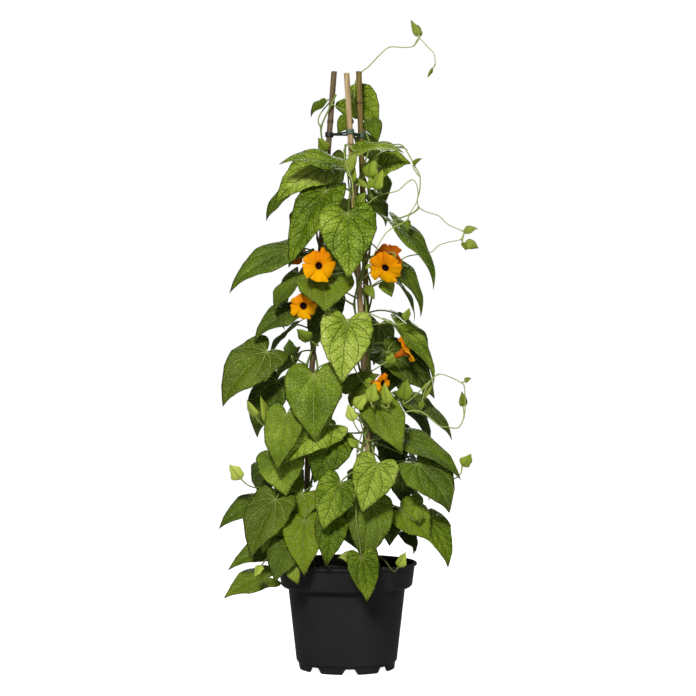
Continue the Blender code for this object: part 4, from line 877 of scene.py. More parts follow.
potSet = {
    "height": 132 * mm, "lip": 88 * mm, "band": 85.2 * mm, "bandLow": 82 * mm, "bandBottom": 101.5 * mm,
    "body": 73.2 * mm, "bodyLow": 62.8 * mm, "foot": 59.8 * mm, "shoulder": 10.5 * mm, "floor": 8 * mm,
    "wall": 1.5 * mm, "lipHeight": 3.4 * mm, "bandCorner": 2.8 * mm, "footWall": 2.5 * mm,
    "footFlare": 0.8 * mm, "round": 0.9 * mm,
    "notches": 8, "notchTurn": 4, "notchHalf": 10 * mm, "notchTopHalf": 5.5 * mm, "notchHeight": 6.8 * mm,
    "sides": 360, "slot": "pot_black",
}


# The pot: a rounded profile turned round Z. The foot's edge stands at notchHeight (half - x) / (half -
# topHalf) where that lies between 0 and notchHeight, x being the way across from the middle of a notch.
def makePot(coat):
    c = potSet
    lip = c["height"] - c["lipHeight"]
    profile = rounded([
        (c["foot"] - c["footWall"], c["floor"]), (c["foot"] - c["footWall"], 0), (c["foot"], 0),
        (c["foot"] + c["footFlare"], c["shoulder"] - 2.5 * mm), (c["bodyLow"], c["shoulder"]),
        (c["bodyLow"] + 0.5 * mm, c["shoulder"] + 5 * mm), (c["body"], c["bandBottom"]),
        (c["bandLow"] - c["bandCorner"], c["bandBottom"]), (c["bandLow"], c["bandBottom"] + c["bandCorner"]),
        (c["band"], lip), (c["lip"], lip + 0.5 * mm), (c["lip"] - 0.5 * mm, c["height"]),
        (c["band"] - c["wall"], c["height"]), (c["bandLow"] - c["wall"], c["bandBottom"] + 2 * c["wall"]),
        (c["body"] - c["wall"], c["bandBottom"] + c["wall"]), (c["bodyLow"] - c["wall"], c["shoulder"]),
        (c["foot"] - c["wall"], c["floor"] + c["wall"]), (0.2 * mm, c["floor"] + c["wall"]),
    ], c["round"])
    profile = np.concatenate(([(0.2 * mm, c["floor"])], profile))
    angle = turns(c["sides"])
    apart = math.tau / c["notches"]
    off = (angle + math.pi / 2 - math.radians(c["notchTurn"]) + apart / 2) % apart - apart / 2
    wide = c["foot"] * np.abs(np.sin(off))
    raised = c["notchHeight"] * np.clip((c["notchHalf"] - wide) / (c["notchHalf"] - c["notchTopHalf"]), 0, 1)
    reach = profile[:, :1] + 0 * angle
    height = profile[:, 1:] + 0 * angle
    height = np.where(height < c["shoulder"] - 3 * mm, np.maximum(height, raised), height)
    rings = np.stack((reach * np.cos(angle), reach * np.sin(angle), height), axis=-1)
    run = np.concatenate(([0.0], np.cumsum(np.hypot(*np.diff(profile, axis=0).T))))
    chart = np.stack(np.broadcast_arrays(angle, run[:, None]), axis=-1)
    piece = makeMesh("nursery_pot", [closedTube(rings, uv=chart)], [coat], angle=35)
    finishPiece(piece, c["slot"], "pot")


golden = (1 + math.sqrt(5)) / 2
soilSet = {
    "level": 118 * mm, "mound": 1.5 * mm, "mounds": 9, "calm": 6 * mm,
    "bump": 2.08 * mm, "bumpScale": 6 * mm, "grain": 1.28 * mm, "grainScale": 1.7 * mm,
    "sides": 150, "rows": 60,
    "middle": 0.5 * mm, "crumbs": 420, "crumb": (0.8 * mm, 2.6 * mm), "slot": "soil_brown",
    # a crumb's twelve corners and twenty faces, before it is squeezed
    "lump": np.array([(-1, golden, 0), (1, golden, 0), (-1, -golden, 0), (1, -golden, 0), (0, -1, golden),
                      (0, 1, golden), (0, -1, -golden), (0, 1, -golden), (golden, 0, -1), (golden, 0, 1),
                      (-golden, 0, -1), (-golden, 0, 1)]) / 1.9,
    "lumpFaces": [(0, 11, 5), (0, 5, 1), (0, 1, 7), (0, 7, 10), (0, 10, 11), (1, 5, 9), (5, 11, 4),
                  (11, 10, 2), (10, 7, 6), (7, 1, 8), (3, 9, 4), (3, 4, 2), (3, 2, 6), (3, 6, 8), (3, 8, 9),
                  (4, 9, 5), (2, 4, 11), (6, 2, 10), (8, 6, 7), (9, 8, 1)],
}


# Smooth bumps: a sum of sines that run in chosen directions
def ripple(x, y, scale, seed):
    rule = np.random.default_rng(seed)
    total = 0
    for k in range(7):
        way, phase = rule.uniform(0, math.tau, 2)
        along = (x * math.cos(way) + y * math.sin(way)) / scale
        total = total + np.sin(along * rule.uniform(0.7, 1.5) + phase)
    return total / 7


# Soil: a disc of rings, lifted by a mound and two sizes of bumps, over the filling under it, with crumbs
# lying on it
def makeSoil(coat):
    c = soilSet
    p = potSet
    edge = p["bandLow"] - p["wall"] / 2 - gap
    reach = np.linspace(c["middle"], edge, c["rows"])[:, None]
    angle = turns(c["sides"])
    x = reach * np.cos(angle)
    y = reach * np.sin(angle)
    calm = np.clip((edge - reach) / c["calm"], 0, 1)
    bumps = c["bump"] * ripple(x, y, c["bumpScale"], 1) + c["grain"] * ripple(x, y, c["grainScale"], 2)
    height = c["level"] + calm * (c["mound"] * np.cos(reach / edge * c["mounds"]) + bumps)
    top = np.stack((x, y, height), axis=-1)
    under = np.array([(p["bandLow"] - p["wall"] - 1 * mm, p["bandBottom"] + 4 * mm),
                      (p["body"] - p["wall"] - 0.6 * mm, p["bandBottom"] + 2 * mm),
                      (p["bodyLow"] - p["wall"] - 0.6 * mm, p["shoulder"] + 1 * mm),
                      (p["foot"] - p["wall"] - 0.8 * mm, p["floor"] + p["wall"] + gap),
                      (c["middle"], p["floor"] + p["wall"] + gap)])
    low = circle(angle, *np.eye(3)[:2]) * under[:, :1, None] + upward * under[:, 1:, None]
    shapes = [closedTube(np.concatenate((top, low)))]
    rule = np.random.default_rng(5)
    count = c["crumbs"]
    away = np.sqrt(rule.uniform(0, 1, count)) * (edge - 3 * mm)
    turn = rule.uniform(0, math.tau, count)
    size = rule.uniform(*c["crumb"], (count, 1, 1)) / 2 * rule.uniform(0.5, 1.3, (count, 1, 3))
    spin = np.linalg.qr(rule.normal(size=(count, 3, 3)))[0]
    lumps = (np.array(c["lump"]) * rule.uniform(0.75, 1.15, (count, 12, 1)) * size) @ spin
    share = (away - c["middle"]) / (edge - c["middle"])
    ring = np.clip(np.round(share * (c["rows"] - 1)).astype(int), 0, c["rows"] - 1)
    spoke = np.round(turn / math.tau * c["sides"]).astype(int) % c["sides"]
    place = np.stack((away * np.cos(turn), away * np.sin(turn), height[ring, spoke] + 0.3 * mm), axis=-1)
    verts = (lumps + place[:, None]).reshape(-1, 3)
    flip = np.linalg.det(spin) < 0
    tris = np.array(c["lumpFaces"]) + 12 * np.arange(count)[:, None, None]
    tris = np.where(flip[:, None, None], tris[..., ::-1], tris).reshape(-1, 3)
    tone = np.repeat(rule.uniform(0, 1, count), 12)
    shapes.append(closedShape(verts, np.zeros((0, 4), int), tris, verts[:, :2], tone=tone))
    finishPiece(makeMesh("peat_mix", shapes, [coat], angle=50), c["slot"], "soil")


# A cane: level circles up its line, wider in a double ridge at each knot, then in over the cut top to its
# hollow
def makeCane(cane, coat):
    c = caneSet
    name = cane[0]
    top = cane[1] * mm
    heights = np.arange(c["bottom"] + 0.5 * mm, top - 0.6 * mm, c["step"])
    knots = np.arange(cane[4] * mm, top - c["knotMargin"], c["knotSpacing"])
    apart = heights[:, None] - knots
    off = apart[np.arange(len(heights)), np.abs(apart).argmin(axis=1)]
    above, width, share = c["upperRidge"]
    ridge = np.exp(-(off / c["ridge"]) ** 2) + np.exp(-((off - above) / width) ** 2) * share
    slow = ripple(heights, heights * 0, c["driftScale"], len(name)) * c["drift"]
    rim = c["radius"] + slow[-1]
    radius = np.concatenate((c["radius"] + ridge * c["knot"] + slow,
                             [rim, rim - 0.35 * mm, c["hollow"], c["hollow"] * 0.9]))
    heights = np.concatenate((heights, [top - 0.35 * mm, top, top, top - c["hollowDepth"]]))
    angle = turns(c["sides"])
    section = circle(angle, *np.eye(3)[:2]) * (1 + c["oval"] * np.cos(2 * angle)[:, None])
    rings = canePoint(cane, heights)[:, None] + section * radius[:, None, None]
    # tone: dark rings just above each knot, and the hollow in the cut top painted dark as shade
    dark = np.concatenate((np.exp(-((off - 0.8 * mm) / (1.4 * mm)) ** 2), [0, 0.2, 1, 1]))
    chart = np.stack(np.broadcast_arrays(angle * c["radius"], heights[:, None]), axis=-1)
    tone = np.concatenate((np.repeat(dark, len(angle)), (0, 1)))
    piece = makeMesh(name + "_bamboo", [closedTube(rings, uv=chart, tone=tone)], [coat], angle=45)
    finishPiece(piece, name + "_wood", name)


clipSet = {
    "wall": 1.4 * mm, "half": 3 * mm, "bar": 1.3 * mm, "sides": 48, "barSides": 14, "slot": "clip_green",
    "barShares": (1, 1, 0.95, 0.9, 0.88, 0.9, 0.95, 1, 1),  # a bar's thickness along its length
    "tones": (0.0, 1.0, 1.0), "barTone": 0.25,  # the eyelets in the canes' order, and the bars
}


# The clip: a rounded eyelet on each cane, in line with it, and round bars between them, thinnest in the middle
def makeClip(coat):
    c = clipSet
    inner = caneSet["radius"] + 0.4 * mm
    outer = inner + c["wall"]
    height = caneSet["clipHeight"]
    centres = np.array([canePoint(cane, height) for cane in caneSet["canes"]])
    shapes = []
    start = (inner + outer) / 2, -c["half"]
    section = rounded([start, (outer, -c["half"]), (outer, -1.2 * mm), (outer, 1.2 * mm), (outer, c["half"]),
                       (inner, c["half"]), (inner, -c["half"]), start], 0.5 * mm)[:-1]
    angle = turns(c["sides"])
    for cane, centre, tone in zip(caneSet["canes"], centres, c["tones"]):
        axis = unit(canePoint(cane, height + mm) - centre)
        right = unit(np.cross((0.0, 1.0, 0.0), axis))
        spokes = circle(angle, right, np.cross(axis, right))
        rings = centre + spokes * section[:, :1, None] + axis * section[:, 1:, None]
        shapes.append(closedRing(rings, tone=tone))
    reach = (inner + outer) / 2
    for a, b in ((0, 1), (1, 2), (2, 0)):
        way = unit(centres[b] - centres[a])
        ends = centres[a] + way * reach, centres[b] - way * reach
        line = ends[0] + (ends[1] - ends[0]) * np.linspace(0, 1, len(c["barShares"]))[:, None]
        shapes.append(pipe(line, c["bar"] * np.array(c["barShares"]), c["barSides"], tone=c["barTone"]))
    finishPiece(makeMesh("cane_holder", shapes, [coat], angle=40), c["slot"], "clip")


# A bloom's centre: its own corners' box, moved onto the box of the model's bloom
def findBloom(bloom, node):
    radius = bloom["width"]
    out = bloom["normal"]
    throat = bloomSet["throat"]
    wider, lower = bloomSet["tubeTop"]
    spokes = circle(math.radians(bloomSet["turn"]) + turns(bloomSet["modelSides"]), *sidesOf(out))
    shares = np.array([1 - bloomSet["notch"], 1.0, 1.0] * 5)[:, None]
    depth = np.array([0.0, 1.0, 1.0] * 5)[:, None] * bloomSet["fall"]
    rings = [spokes * shares * radius - out * depth,
             spokes * radius * bloomSet["crest"] + out * bloomSet["rise"],
             spokes * throat - out * 2 * gap, spokes * (throat + wider) - out * lower,
             spokes * bloomSet["tubeEnd"] - out * bloomSet["tube"]]
    own = np.concatenate(rings)
    low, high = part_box(node)
    return (np.array(low) + np.array(high)) / 2 - (own.min(axis=0) + own.max(axis=0)) / 2


# A value that a node gives. Arithmetic with it adds math nodes to its tree.
class Value:
    def __init__(self, socket):
        self.socket = socket
        self.tree = socket.id_data

    def other(self, out):
        return Value(self.socket.node.outputs[out])

    def __add__(self, more):
        return calc("ADD", self, more)

    def __sub__(self, less):
        return calc("SUBTRACT", self, less)

    def __rsub__(self, start):
        return calc("SUBTRACT", start, self)

    def __mul__(self, times):
        return calc("MULTIPLY", self, times)

    def __truediv__(self, parts):
        return calc("DIVIDE", self, parts)

    def __abs__(self):
        return calc("ABSOLUTE", self)


# Adds a node: its settings by name, its inputs by name or number, as plain values or another node's output
def add(tree, kind, inputs=(), out=0, **settings):
    made = tree.nodes.new(kind)
    for key, value in settings.items():
        setattr(made, key, value)
    for key, value in dict(inputs).items():
        if isinstance(value, Value):
            tree.links.new(value.socket, made.inputs[key])
        else:
            made.inputs[key].default_value = value
    return Value(made.outputs[out])


def calc(operation, *values):
    tree = next(value.tree for value in values if isinstance(value, Value))
    return add(tree, "ShaderNodeMath", dict(enumerate(values)), operation=operation)


# From 1 where the value is under low to 0 where it is over high
def below(value, low, high):
    inputs = {"Value": value, "From Min": low, "From Max": high, "To Min": 1.0, "To Max": 0.0}
    return add(value.tree, "ShaderNodeMapRange", inputs, interpolation_type="SMOOTHSTEP")


def blend(share, first, second, kind="MIX"):
    colours = {6: first, 7: second}
    colours = {key: (*value, 1.0) if isinstance(value, tuple) else value for key, value in colours.items()}
    tree = next(value.tree for value in (share, first, second) if isinstance(value, Value))
    return add(tree, "ShaderNodeMix", {0: share} | colours, out=2, data_type="RGBA", blend_type=kind)


# A colour ramp from a list of (place, colour)
def ramp(value, stops):
    made = add(value.tree, "ShaderNodeValToRGB", {0: value})
    elements = made.socket.node.color_ramp.elements
    while len(elements) < len(stops):
        elements.new(0.5)
    for element, (place, colour) in zip(elements, stops):
        element.position = place
        element.color = (*colour, 1.0)
    return made


def attribute(tree, name):
    return add(tree, "ShaderNodeAttribute", out=2, attribute_name=name)


def place(tree):
    return add(tree, "ShaderNodeTexCoord", out=3)


def chart(tree):
    return add(tree, "ShaderNodeUVMap", uv_map="chart")


def openSockets(group, inOut, values):
    for key, value in values.items():
        kind = "NodeSocketVector" if isinstance(value, tuple) else "NodeSocketFloat"
        made = group.interface.new_socket(key, in_out=inOut, socket_type=kind)
        if inOut == "INPUT":
            made.default_value = value


# An empty group and what comes into it, with the inputs' plain values by name. Vectors come as three
# numbers.
def newGroup(name, inputs):
    group = bpy.data.node_groups.new(name, "ShaderNodeTree")
    openSockets(group, "INPUT", inputs)
    given = group.nodes.new("NodeGroupInput").outputs
    return group, {key: Value(given[key]) for key in inputs}


def giveOut(group, found):
    openSockets(group, "OUTPUT", found)
    put = group.nodes.new("NodeGroupOutput").inputs
    for key, value in found.items():
        group.links.new(value.socket, put[key])
    return group


# Mottling that is the same for all materials: soft noise from 0 to 1 about the middle
def mottleGroup():
    group, given = newGroup("mottle", {"Vector": (0, 0, 0), "Scale": 40.0})
    noise = add(group, "ShaderNodeTexNoise", given | {"Detail": 3.0})
    value = add(group, "ShaderNodeMapRange", {"Value": noise, "From Min": 0.3, "From Max": 0.7})
    return giveOut(group, {"Value": value})


# Long streaks: noise squeezed across and drawn out along the chart's second axis
def streakGroup():
    group, given = newGroup("streaks", {"Vector": (0, 0, 0), "Across": 900.0, "Along": 12.0})
    size = add(group, "ShaderNodeCombineXYZ", {0: given["Across"], 1: given["Along"], 2: 1.0})
    spot = add(group, "ShaderNodeVectorMath", {0: given["Vector"], 1: size}, operation="MULTIPLY")
    noise = add(group, "ShaderNodeTexNoise", {"Vector": spot, "Scale": 1.0, "Detail": 4.0, "Roughness": 0.6})
    value = add(group, "ShaderNodeMapRange", {"Value": noise, "From Min": 0.32, "From Max": 0.68})
    return giveOut(group, {"Value": value})


# The veins of a leaf on its chart, the same lines as veinRelief: palmate ones, side ones and a fine net
def veinGroup():
    c = veinSet
    group, given = newGroup("leaf veins", {"Vector": (0, 0, 0)})
    wander = add(group, "ShaderNodeTexNoise", {"Vector": given["Vector"], "Scale": 7.0, "Detail": 1.0}, out=1)
    wander = add(group, "ShaderNodeVectorMath", {0: wander, 1: (0.5, 0.5, 0.5)}, operation="SUBTRACT")
    wander = {0: wander, 1: (c["wander"], c["wander"], 0.0), 2: given["Vector"]}
    spot = add(group, "ShaderNodeVectorMath", wander, operation="MULTIPLY_ADD")
    s = add(group, "ShaderNodeSeparateXYZ", {0: spot})
    w = s.other(1)
    side = abs(w)
    flat = add(group, "ShaderNodeCombineXYZ", {0: s, 1: side, 2: 0.0})
    radius = add(group, "ShaderNodeVectorMath", {0: flat}, out=1, operation="LENGTH")
    pitch = calc("MAXIMUM", 1.0 - radius * radius * c["bow"], c["least"]) * c["apart"]
    number = calc("ARCTAN2", side, s) / pitch
    off = abs(calc("FRACT", number + 0.5) - 0.5)
    main = below(off * (radius * pitch), 0.002, 0.0105 - radius * 0.004)
    lean = calc("FLOOR", number) * c["leanStep"] + c["lean"]
    across = s * calc("SINE", lean) - side * calc("COSINE", lean)
    rung = across * (1 / c["rung"]) + (calc("GREATER_THAN", w, 0.0) * c["shift"] + 0.5)
    sideVein = below(abs(calc("FRACT", rung) - 0.5), 0.008, 0.055)
    cells = {"Vector": spot, "Scale": c["cells"], "Randomness": 0.9}
    edge = add(group, "ShaderNodeTexVoronoi", cells, feature="DISTANCE_TO_EDGE", voronoi_dimensions="2D")
    puff = 1.0 - below(edge, 0.0, 0.35)
    height = puff * 0.3 - calc("MAXIMUM", main, sideVein * 0.8)
    return giveOut(group, {"Main": main, "Side": sideVein, "Net": below(edge, 0.01, 0.075), "Puff": puff,
                           "Height": height, "Radius": radius})


def mottle(tree, scale):
    return add(tree, "ShaderNodeGroup", {"Vector": place(tree), "Scale": scale}, node_tree=groups["mottle"])


def streaks(tree, across, along):
    inputs = {"Vector": chart(tree), "Across": across, "Along": along}
    return add(tree, "ShaderNodeGroup", inputs, node_tree=groups["streaks"])


# A material with its shader's plain values set, and what makes its colour, roughness and bump linked
def newMaterial(name, plain, build):
    made = bpy.data.materials.new(name)
    made.use_nodes = True
    tree = made.node_tree
    shader = tree.nodes["Principled BSDF"]
    for key, value in plain.items():
        shader.inputs[key].default_value = value
    linked = build(tree)
    if "Height" in linked:
        bump = {key: linked.pop(key) for key in ("Height", "Strength", "Distance")}
        linked["Normal"] = add(tree, "ShaderNodeBump", bump)
    for key, value in linked.items():
        tree.links.new(value.socket, shader.inputs[key])
    return made


leafLook = {
    "greens": [(0.0, (0.008, 0.017, 0.001)), (0.25, (0.032, 0.060, 0.003)), (0.5, (0.113, 0.187, 0.005)),
               (0.75, (0.28, 0.385, 0.035)), (1.0, (0.48, 0.58, 0.11))],
    # lit: the colour of the painted glow of light coming through a leaf
    "lit": (0.20, 0.27, 0.002), "under": (0.17, 0.24, 0.05), "underShare": 0.4, "vein": (0.42, 0.52, 0.125),
    "dark": 0.52, "darkUnder": 0.12,  # how much darker a dark vein is than the blade; on the face this is painted shade in the sunken veins
    "pale": 0.72, "star": 0.7,  # share of the vein colour in a pale vein, and in the veins round the stalk
    "side": 0.75, "net": 0.36, "netPale": 0.2,  # strength beside that of the palmate veins
    # puff: how much lighter the pillows between the veins are painted, as if they catch the light
    "bump": 1.3 * mm, "puff": 0.16, "patch": 0.6, "patchScale": 32.0,
}


# A blade's colour: green by its tone, partly painted light and shade, with patches, pillows painted lighter as
# if they catch the light, a painted glow where light comes through, and veins that are paler than it or darker
# with painted shade in their grooves
def leafColour(tree, veins, darkest):
    c = leafLook
    tone = attribute(tree, "tone")
    tone = tone + tone * ((mottle(tree, c["patchScale"]) - 0.45) * c["patch"])
    # painted light: the pillows lighter and the hollows between them darker
    tone = tone + (veins.other("Puff") - 0.5) * c["puff"]
    # painted light: the glow of light coming through the leaf, mixed in by its painted-light mark
    colour = blend(attribute(tree, "warm"), ramp(tone, c["greens"]), c["lit"])
    known = attribute(tree, "pale")
    net = veins.other("Net")
    lines = calc("MAXIMUM", veins.other("Main"), veins.other("Side") * c["side"])
    pale = calc("MAXIMUM", lines, net * c["netPale"]) * known
    # painted shade in the sunken veins and net, on leaves without pale veins
    keep = 1.0 - calc("MAXIMUM", lines, net * c["net"]) * (1.0 - known) * darkest
    grey = add(tree, "ShaderNodeCombineColor", {0: keep, 1: keep, 2: keep})
    return blend(pale * c["pale"], blend(1.0, colour, grey, "MULTIPLY"), c["vein"])


def buildLeafTop(tree):
    veins = add(tree, "ShaderNodeGroup", {"Vector": chart(tree)}, node_tree=groups["veins"])
    height = veins.other("Height")
    star = below(veins.other("Radius"), 0.05, 0.16) * veins.other("Main") * leafLook["star"]
    colour = blend(star, leafColour(tree, veins, leafLook["dark"]), leafLook["vein"])
    return {"Base Color": colour, "Roughness": height * -0.1 + 0.44, "Height": height, "Strength": 0.9,
            "Distance": leafLook["bump"]}


def buildLeafUnder(tree):
    veins = add(tree, "ShaderNodeGroup", {"Vector": chart(tree)}, node_tree=groups["veins"])
    colour = blend(leafLook["underShare"], leafColour(tree, veins, leafLook["darkUnder"]), leafLook["under"])
    colour = blend(veins.other("Main") * 0.5, colour, leafLook["vein"])
    return {"Base Color": colour, "Height": veins.other("Height") * -1.0, "Strength": 0.6,
            "Distance": leafLook["bump"]}


stalkLook = {
    "greens": [(0.3, (0.07, 0.12, 0.016)), (0.5, (0.20, 0.28, 0.05)), (0.72, (0.38, 0.46, 0.12)),
               (0.9, (0.50, 0.57, 0.20))],
    "old": (0.085, 0.062, 0.026), "oldTop": 0.26, "oldFoot": 0.12,
}


def buildStalk(tree):
    grain = streaks(tree, 9.0, 6.0)
    colour = ramp(grain * 0.16 + (attribute(tree, "tone") - 0.08), stalkLook["greens"])
    height = add(tree, "ShaderNodeSeparateXYZ", {0: place(tree)}, out=2)
    colour = blend(below(height, stalkLook["oldFoot"], stalkLook["oldTop"]) * 0.75, colour, stalkLook["old"])
    return {"Base Color": colour, "Height": grain, "Strength": 0.1, "Distance": 0.2 * mm}


podLook = {
    "greens": [(0.3, (0.06, 0.105, 0.012)), (0.55, (0.23, 0.32, 0.025)), (0.8, (0.48, 0.57, 0.085)),
               (1.0, (0.62, 0.69, 0.18))],
    "split": (0.035, 0.07, 0.012), "ribs": 14,
}


def buildPod(tree):
    turn = add(tree, "ShaderNodeSeparateXYZ", {0: chart(tree)})
    grain = streaks(tree, 34.0, 2.2)
    ribs = below(abs(calc("SINE", turn * (math.pi * podLook["ribs"]))), 0.0, 0.35)
    tone = grain * 0.16 + (attribute(tree, "tone") - 0.1) + ribs * -0.09
    quarter = abs(calc("FRACT", turn * 2.0) - 0.5)
    colour = blend(below(quarter, 0.012, 0.06) * 0.5, ramp(tone, podLook["greens"]), podLook["split"])
    return {"Base Color": colour, "Height": grain - ribs, "Strength": 0.4, "Distance": 0.3 * mm}


petalLook = {
    # front: from the upper petals, darker with painted shade, to the paler lower ones
    "front": [(0.0, (0.80, 0.25, 0.001)), (0.5, (0.86, 0.34, 0.001)), (1.0, (0.90, 0.43, 0.001))],
    # eye: the deeper orange painted as shade round the throat and in the seams where petals overlap
    "back": (0.52, 0.13, 0.008), "eye": (0.55, 0.13, 0.001),
}


# A petal: deeper orange at the top of its bloom and palest at the bottom, painted shade on the upper petals;
# deeper round the eye and in the seams between petals, painted shade in the throat and where petals overlap;
# and dull behind
def buildPetal(tree):
    turn = add(tree, "ShaderNodeSeparateXYZ", {0: chart(tree)})
    grain = streaks(tree, 16.0, 1.2)
    # painted shade: the upper petals darker, by the painted-light mark
    colour = ramp(grain * 0.24 + (attribute(tree, "warm") - 0.12), petalLook["front"])
    # painted shade round the throat
    colour = blend(below(turn.other(1), 0.22, 0.42) * 0.35, colour, petalLook["eye"])
    edge = abs(calc("FRACT", turn) - 0.5)
    # painted shade in the seams where petals overlap
    colour = blend((1.0 - below(edge, 0.42, 0.5)) * 0.6, colour, petalLook["eye"])
    colour = blend(attribute(tree, "tone"), colour, petalLook["back"])
    return {"Base Color": colour, "Height": grain, "Strength": 0.35, "Distance": 0.35 * mm}


throatLook = [(0.0, (0.007, 0.0015, 0.002)), (1.0, (0.022, 0.005, 0.006))]
potLook = [(0.0, (0.022, 0.022, 0.0223)), (1.0, (0.028, 0.028, 0.0283))]
soilLook = [(0.1, (0.008, 0.005, 0.003)), (0.6, (0.032, 0.020, 0.012)), (1.0, (0.085, 0.055, 0.032))]
clipLook = [(0.0, (0.012, 0.013, 0.012)), (0.25, (0.014, 0.040, 0.024)), (1.0, (0.075, 0.12, 0.08))]
floorLook = [(0.0, (0.58, 0.58, 0.58)), (1.0, (0.60, 0.60, 0.60))]


def buildThroat(tree):
    grain = mottle(tree, 900.0)
    return {"Base Color": ramp(grain, throatLook), "Height": grain, "Strength": 0.3, "Distance": 0.2 * mm}


def buildPotLook(tree):
    cloud = mottle(tree, 22.0)
    rough = streaks(tree, 24.0, 30.0) * 0.10 + (cloud * 0.06 + 0.36)
    return {"Base Color": ramp(cloud, potLook), "Roughness": rough, "Height": mottle(tree, 2400.0),
            "Strength": 0.25, "Distance": 0.12 * mm}


def buildSoilLook(tree):
    grain = mottle(tree, 420.0)
    tone = attribute(tree, "tone") * 0.35 + (grain * 0.5 + mottle(tree, 90.0) * 0.25)
    return {"Base Color": ramp(tone, soilLook), "Height": grain, "Strength": 0.9, "Distance": 1.0 * mm}


def buildClipLook(tree):
    cloud = mottle(tree, 300.0)
    tone = attribute(tree, "tone") + (cloud * 0.08 - 0.04)
    return {"Base Color": ramp(tone, clipLook), "Height": cloud, "Strength": 0.2, "Distance": 0.2 * mm}


# body, streak and knot colours; the pale streak colour is partly painted highlight, and the knot colour also
# paints the shade in the cut top's hollow
caneLooks = {
    "cane_left": ((0.090, 0.056, 0.020), (0.31, 0.24, 0.12), (0.030, 0.018, 0.008)),
    "cane_front": ((0.30, 0.18, 0.065), (0.95, 0.78, 0.45), (0.09, 0.050, 0.020)),
    "cane_back": ((0.13, 0.085, 0.018), (0.42, 0.33, 0.09), (0.03, 0.018, 0.006)),
}


# Bamboo: fine fibres along the cane, broad pale streaks and patches, partly the bamboo's own mottling and
# partly painted highlight, and dark rings where tone marks the knots, with the hollow in the cut top painted
# dark as shade
def caneMaterial(name):
    body, streak, knot = caneLooks[name]

    def build(tree):
        fibres = streaks(tree, 2600.0, 22.0)
        # pale streaks, partly the bamboo's own mottling and partly painted highlight
        colour = blend(fibres * streaks(tree, 420.0, 26.0), body, streak)
        # the knot colour where tone marks the knots, and painted shade in the hollow at the cut top
        colour = blend(attribute(tree, "tone") * 0.85, colour, knot)
        return {"Base Color": colour, "Roughness": fibres * 0.2 + 0.42, "Height": fibres, "Strength": 0.4,
                "Distance": 0.25 * mm}

    return newMaterial(name.replace("_", " ") + " bamboo", {"Specular IOR Level": 0.3}, build)


lightSet = {
    # place, size, watts, colour
    "key": ((-0.5, -2.3, 1.9), 0.5, 64, (1.0, 0.99, 0.96)),
    "fill": ((1.8, -1.8, 0.9), 1.2, 7, (0.98, 0.99, 1.0)),
    "back": ((0.3, 1.9, 2.0), 1.2, 30, (1.0, 1.0, 1.0)),
    "world": 0.095, "seen": 1.0,  # the light that the backdrop gives, and how white it looks
    "floor": 0.97, "aim": (0, 0, 0.40),
}


def makeLights():
    for name in ("key", "fill", "back"):
        at, size, watts, colour = lightSet[name]
        data = bpy.data.lights.new(name, "AREA")
        data.size = size
        data.energy = watts
        data.color = colour
        lamp = bpy.data.objects.new(name, data)
        lamp.location = at
        lamp.rotation_euler = (Vector(lightSet["aim"]) - Vector(at)).to_track_quat("-Z", "Y").to_euler()
        scene.collection.objects.link(lamp)
    world = bpy.data.worlds.new("studio")
    world.use_nodes = True
    backdrop = world.node_tree.nodes["Background"]
    backdrop.inputs["Color"].default_value = (1, 1, 1, 1)
    direct = add(world.node_tree, "ShaderNodeLightPath")
    strength = direct * (lightSet["seen"] - lightSet["world"]) + lightSet["world"]
    world.node_tree.links.new(strength.socket, backdrop.inputs["Strength"])
    scene.world = world
    scene.view_settings.view_transform = "Standard"


def makeFloor():
    mesh = bpy.data.meshes.new("floor")
    mesh.from_pydata([(-6, -6, 0), (6, -6, 0), (6, 6, 0), (-6, 6, 0)], [], [(0, 1, 2, 3)])
    floor = bpy.data.objects.new("floor", mesh)
    scene.collection.objects.link(floor)

    def build(tree):
        direct = add(tree, "ShaderNodeLightPath") * lightSet["floor"]
        return {"Base Color": ramp(mottle(tree, 3.0), floorLook), "Emission Strength": direct}

    plain = {"Roughness": 0.9, "Specular IOR Level": 0.0, "Emission Color": (1.0, 1.0, 1.0, 1.0)}
    mesh.materials.append(newMaterial("pale floor", plain, build))


print("looking up what grows where")
trees = [cornerTree(f"vine_{number}") for number in range(len(stemSet["stems"]))]
joints = [joint for number in range(len(trees)) for joint in stemJoints(number)]
plants = []
for leaf in [leafItem(*row) for row in leafRows] + backItems():
    stem, step = findLeaf(leaf, trees)
    if stem is not None:
        plants.append(shifted(leaf, step) | {"stem": stem})
for number, (base, tip, width, tone) in enumerate(podRows):
    pod = {"kind": "pod", "name": f"pod_{number}", "base": np.array(base) * mm, "tip": np.array(tip) * mm,
           "width": width * mm, "girth": podSet["girth"], "tone": tone}
    plants.append(findForward(pod, *podRings(pod), trees))
for number, path in enumerate(shootRows):
    shoot = {"kind": "shoot", "name": f"shoot_{number}", "path": np.array(path) * mm}
    radii = np.full(len(path) - 2, stalkSet["shootRadius"])
    plants.append(findForward(shoot, shoot["path"][2:], radii, trees))

print("camera, lights and floor")
makeCamera()
makeLights()
groups = {"mottle": mottleGroup(), "streaks": streakGroup(), "veins": veinGroup()}
makeFloor()
print("pot, soil, canes and clip")
makePot(newMaterial("satin black plastic", {"Specular IOR Level": 0.02}, buildPotLook))
makeSoil(newMaterial("peat and bark", {"Roughness": 0.95}, buildSoilLook))
for cane in caneSet["canes"]:
    makeCane(cane, caneMaterial(cane[0]))
makeClip(newMaterial("clip plastic", {"Roughness": 0.45}, buildClipLook))

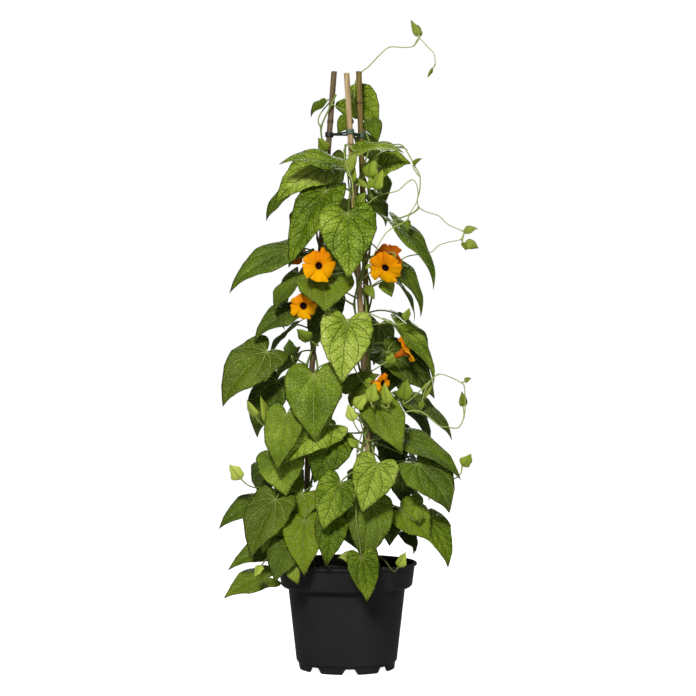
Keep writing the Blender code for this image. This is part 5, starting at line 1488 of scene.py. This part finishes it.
print("blooms")
petal = newMaterial("petal", {"Roughness": 0.6, "Specular IOR Level": 0.04}, buildPetal)
dark = newMaterial("dark throat", {"Roughness": 0.8, "Specular IOR Level": 0.1}, buildThroat)
for number, (centre, turn, lean, radius) in enumerate(bloomRows):
    bloom = {"centre": np.array(centre) * mm, "normal": facing(turn, lean), "width": radius * mm}
    bloom["centre"] = findBloom(bloom, f"bloom_{number}")
    piece = makeMesh(f"petals_{number}", [bloomShape(bloom)], [petal])
    finishPiece(piece, "petal_orange", f"bloom_{number}")
    piece = makeMesh(f"eye_{number}", [throatShape(bloom)], [dark], angle=50)
    finishPiece(piece, "throat_dark", f"throat_{number}")
    tip = bloom["centre"] - bloom["normal"] * (bloomSet["tube"] + gap)
    base = tip - bloom["normal"] * bloomSet["cupLength"]
    cup = {"kind": "pod", "name": f"cup_{number}", "tip": tip, "base": base,
           "width": bloomSet["cupWidth"], "girth": podSet["cupGirth"], "tone": podSet["cupTone"]}
    plants.append(cup | {"stem": ringMiss(*podRings(cup), trees)[1]})

print("leaves, pods and stems")
for shoot in [item for item in plants if item["kind"] == "shoot"]:
    for before, point in zip(shoot["path"], shoot["path"][1:]):
        joints.append({"stem": shoot["stem"], "point": point, "out": unit(point - before)})
vines = [[stemShape(number)] for number in range(len(trees))]
for item in plants:
    if item["stem"] is None:
        print("not found in the model:", item["name"])
        continue
    handles, radius = findStalk(item, joints, trees[item["stem"]])
    vine = vines[item["stem"]]
    if item["kind"] == "leaf":
        tone = item["tone"] + shade.uniform(-leafSet["stray"], leafSet["stray"])
        vine += [leafShape(item, tone), leafStalk(item, handles, radius, tone)]
    elif item["kind"] == "pod":
        vine += [podShape(item), podStalk(item, handles, radius)]
    else:
        vine.append(shootShape(item, handles))
sheen = (0.86, 1.0, 0.46, 1.0)
leafBack = {"Roughness": 0.6, "Specular IOR Level": 0.2, "Specular Tint": sheen}
bract = {"Roughness": 0.5, "Specular IOR Level": 0.3, "Specular Tint": sheen}
coats = [newMaterial("leaf face", {"Specular IOR Level": 0.32, "Specular Tint": sheen}, buildLeafTop),
         newMaterial("leaf back", leafBack, buildLeafUnder),
         newMaterial("stalk", {"Roughness": 0.5, "Specular IOR Level": 0.3}, buildStalk),
         newMaterial("bract", bract, buildPod)]
for number, shapes in enumerate(vines):
    finishPiece(makeMesh(f"foliage_{number}", shapes, coats), "leaf_green", f"vine_{number}")
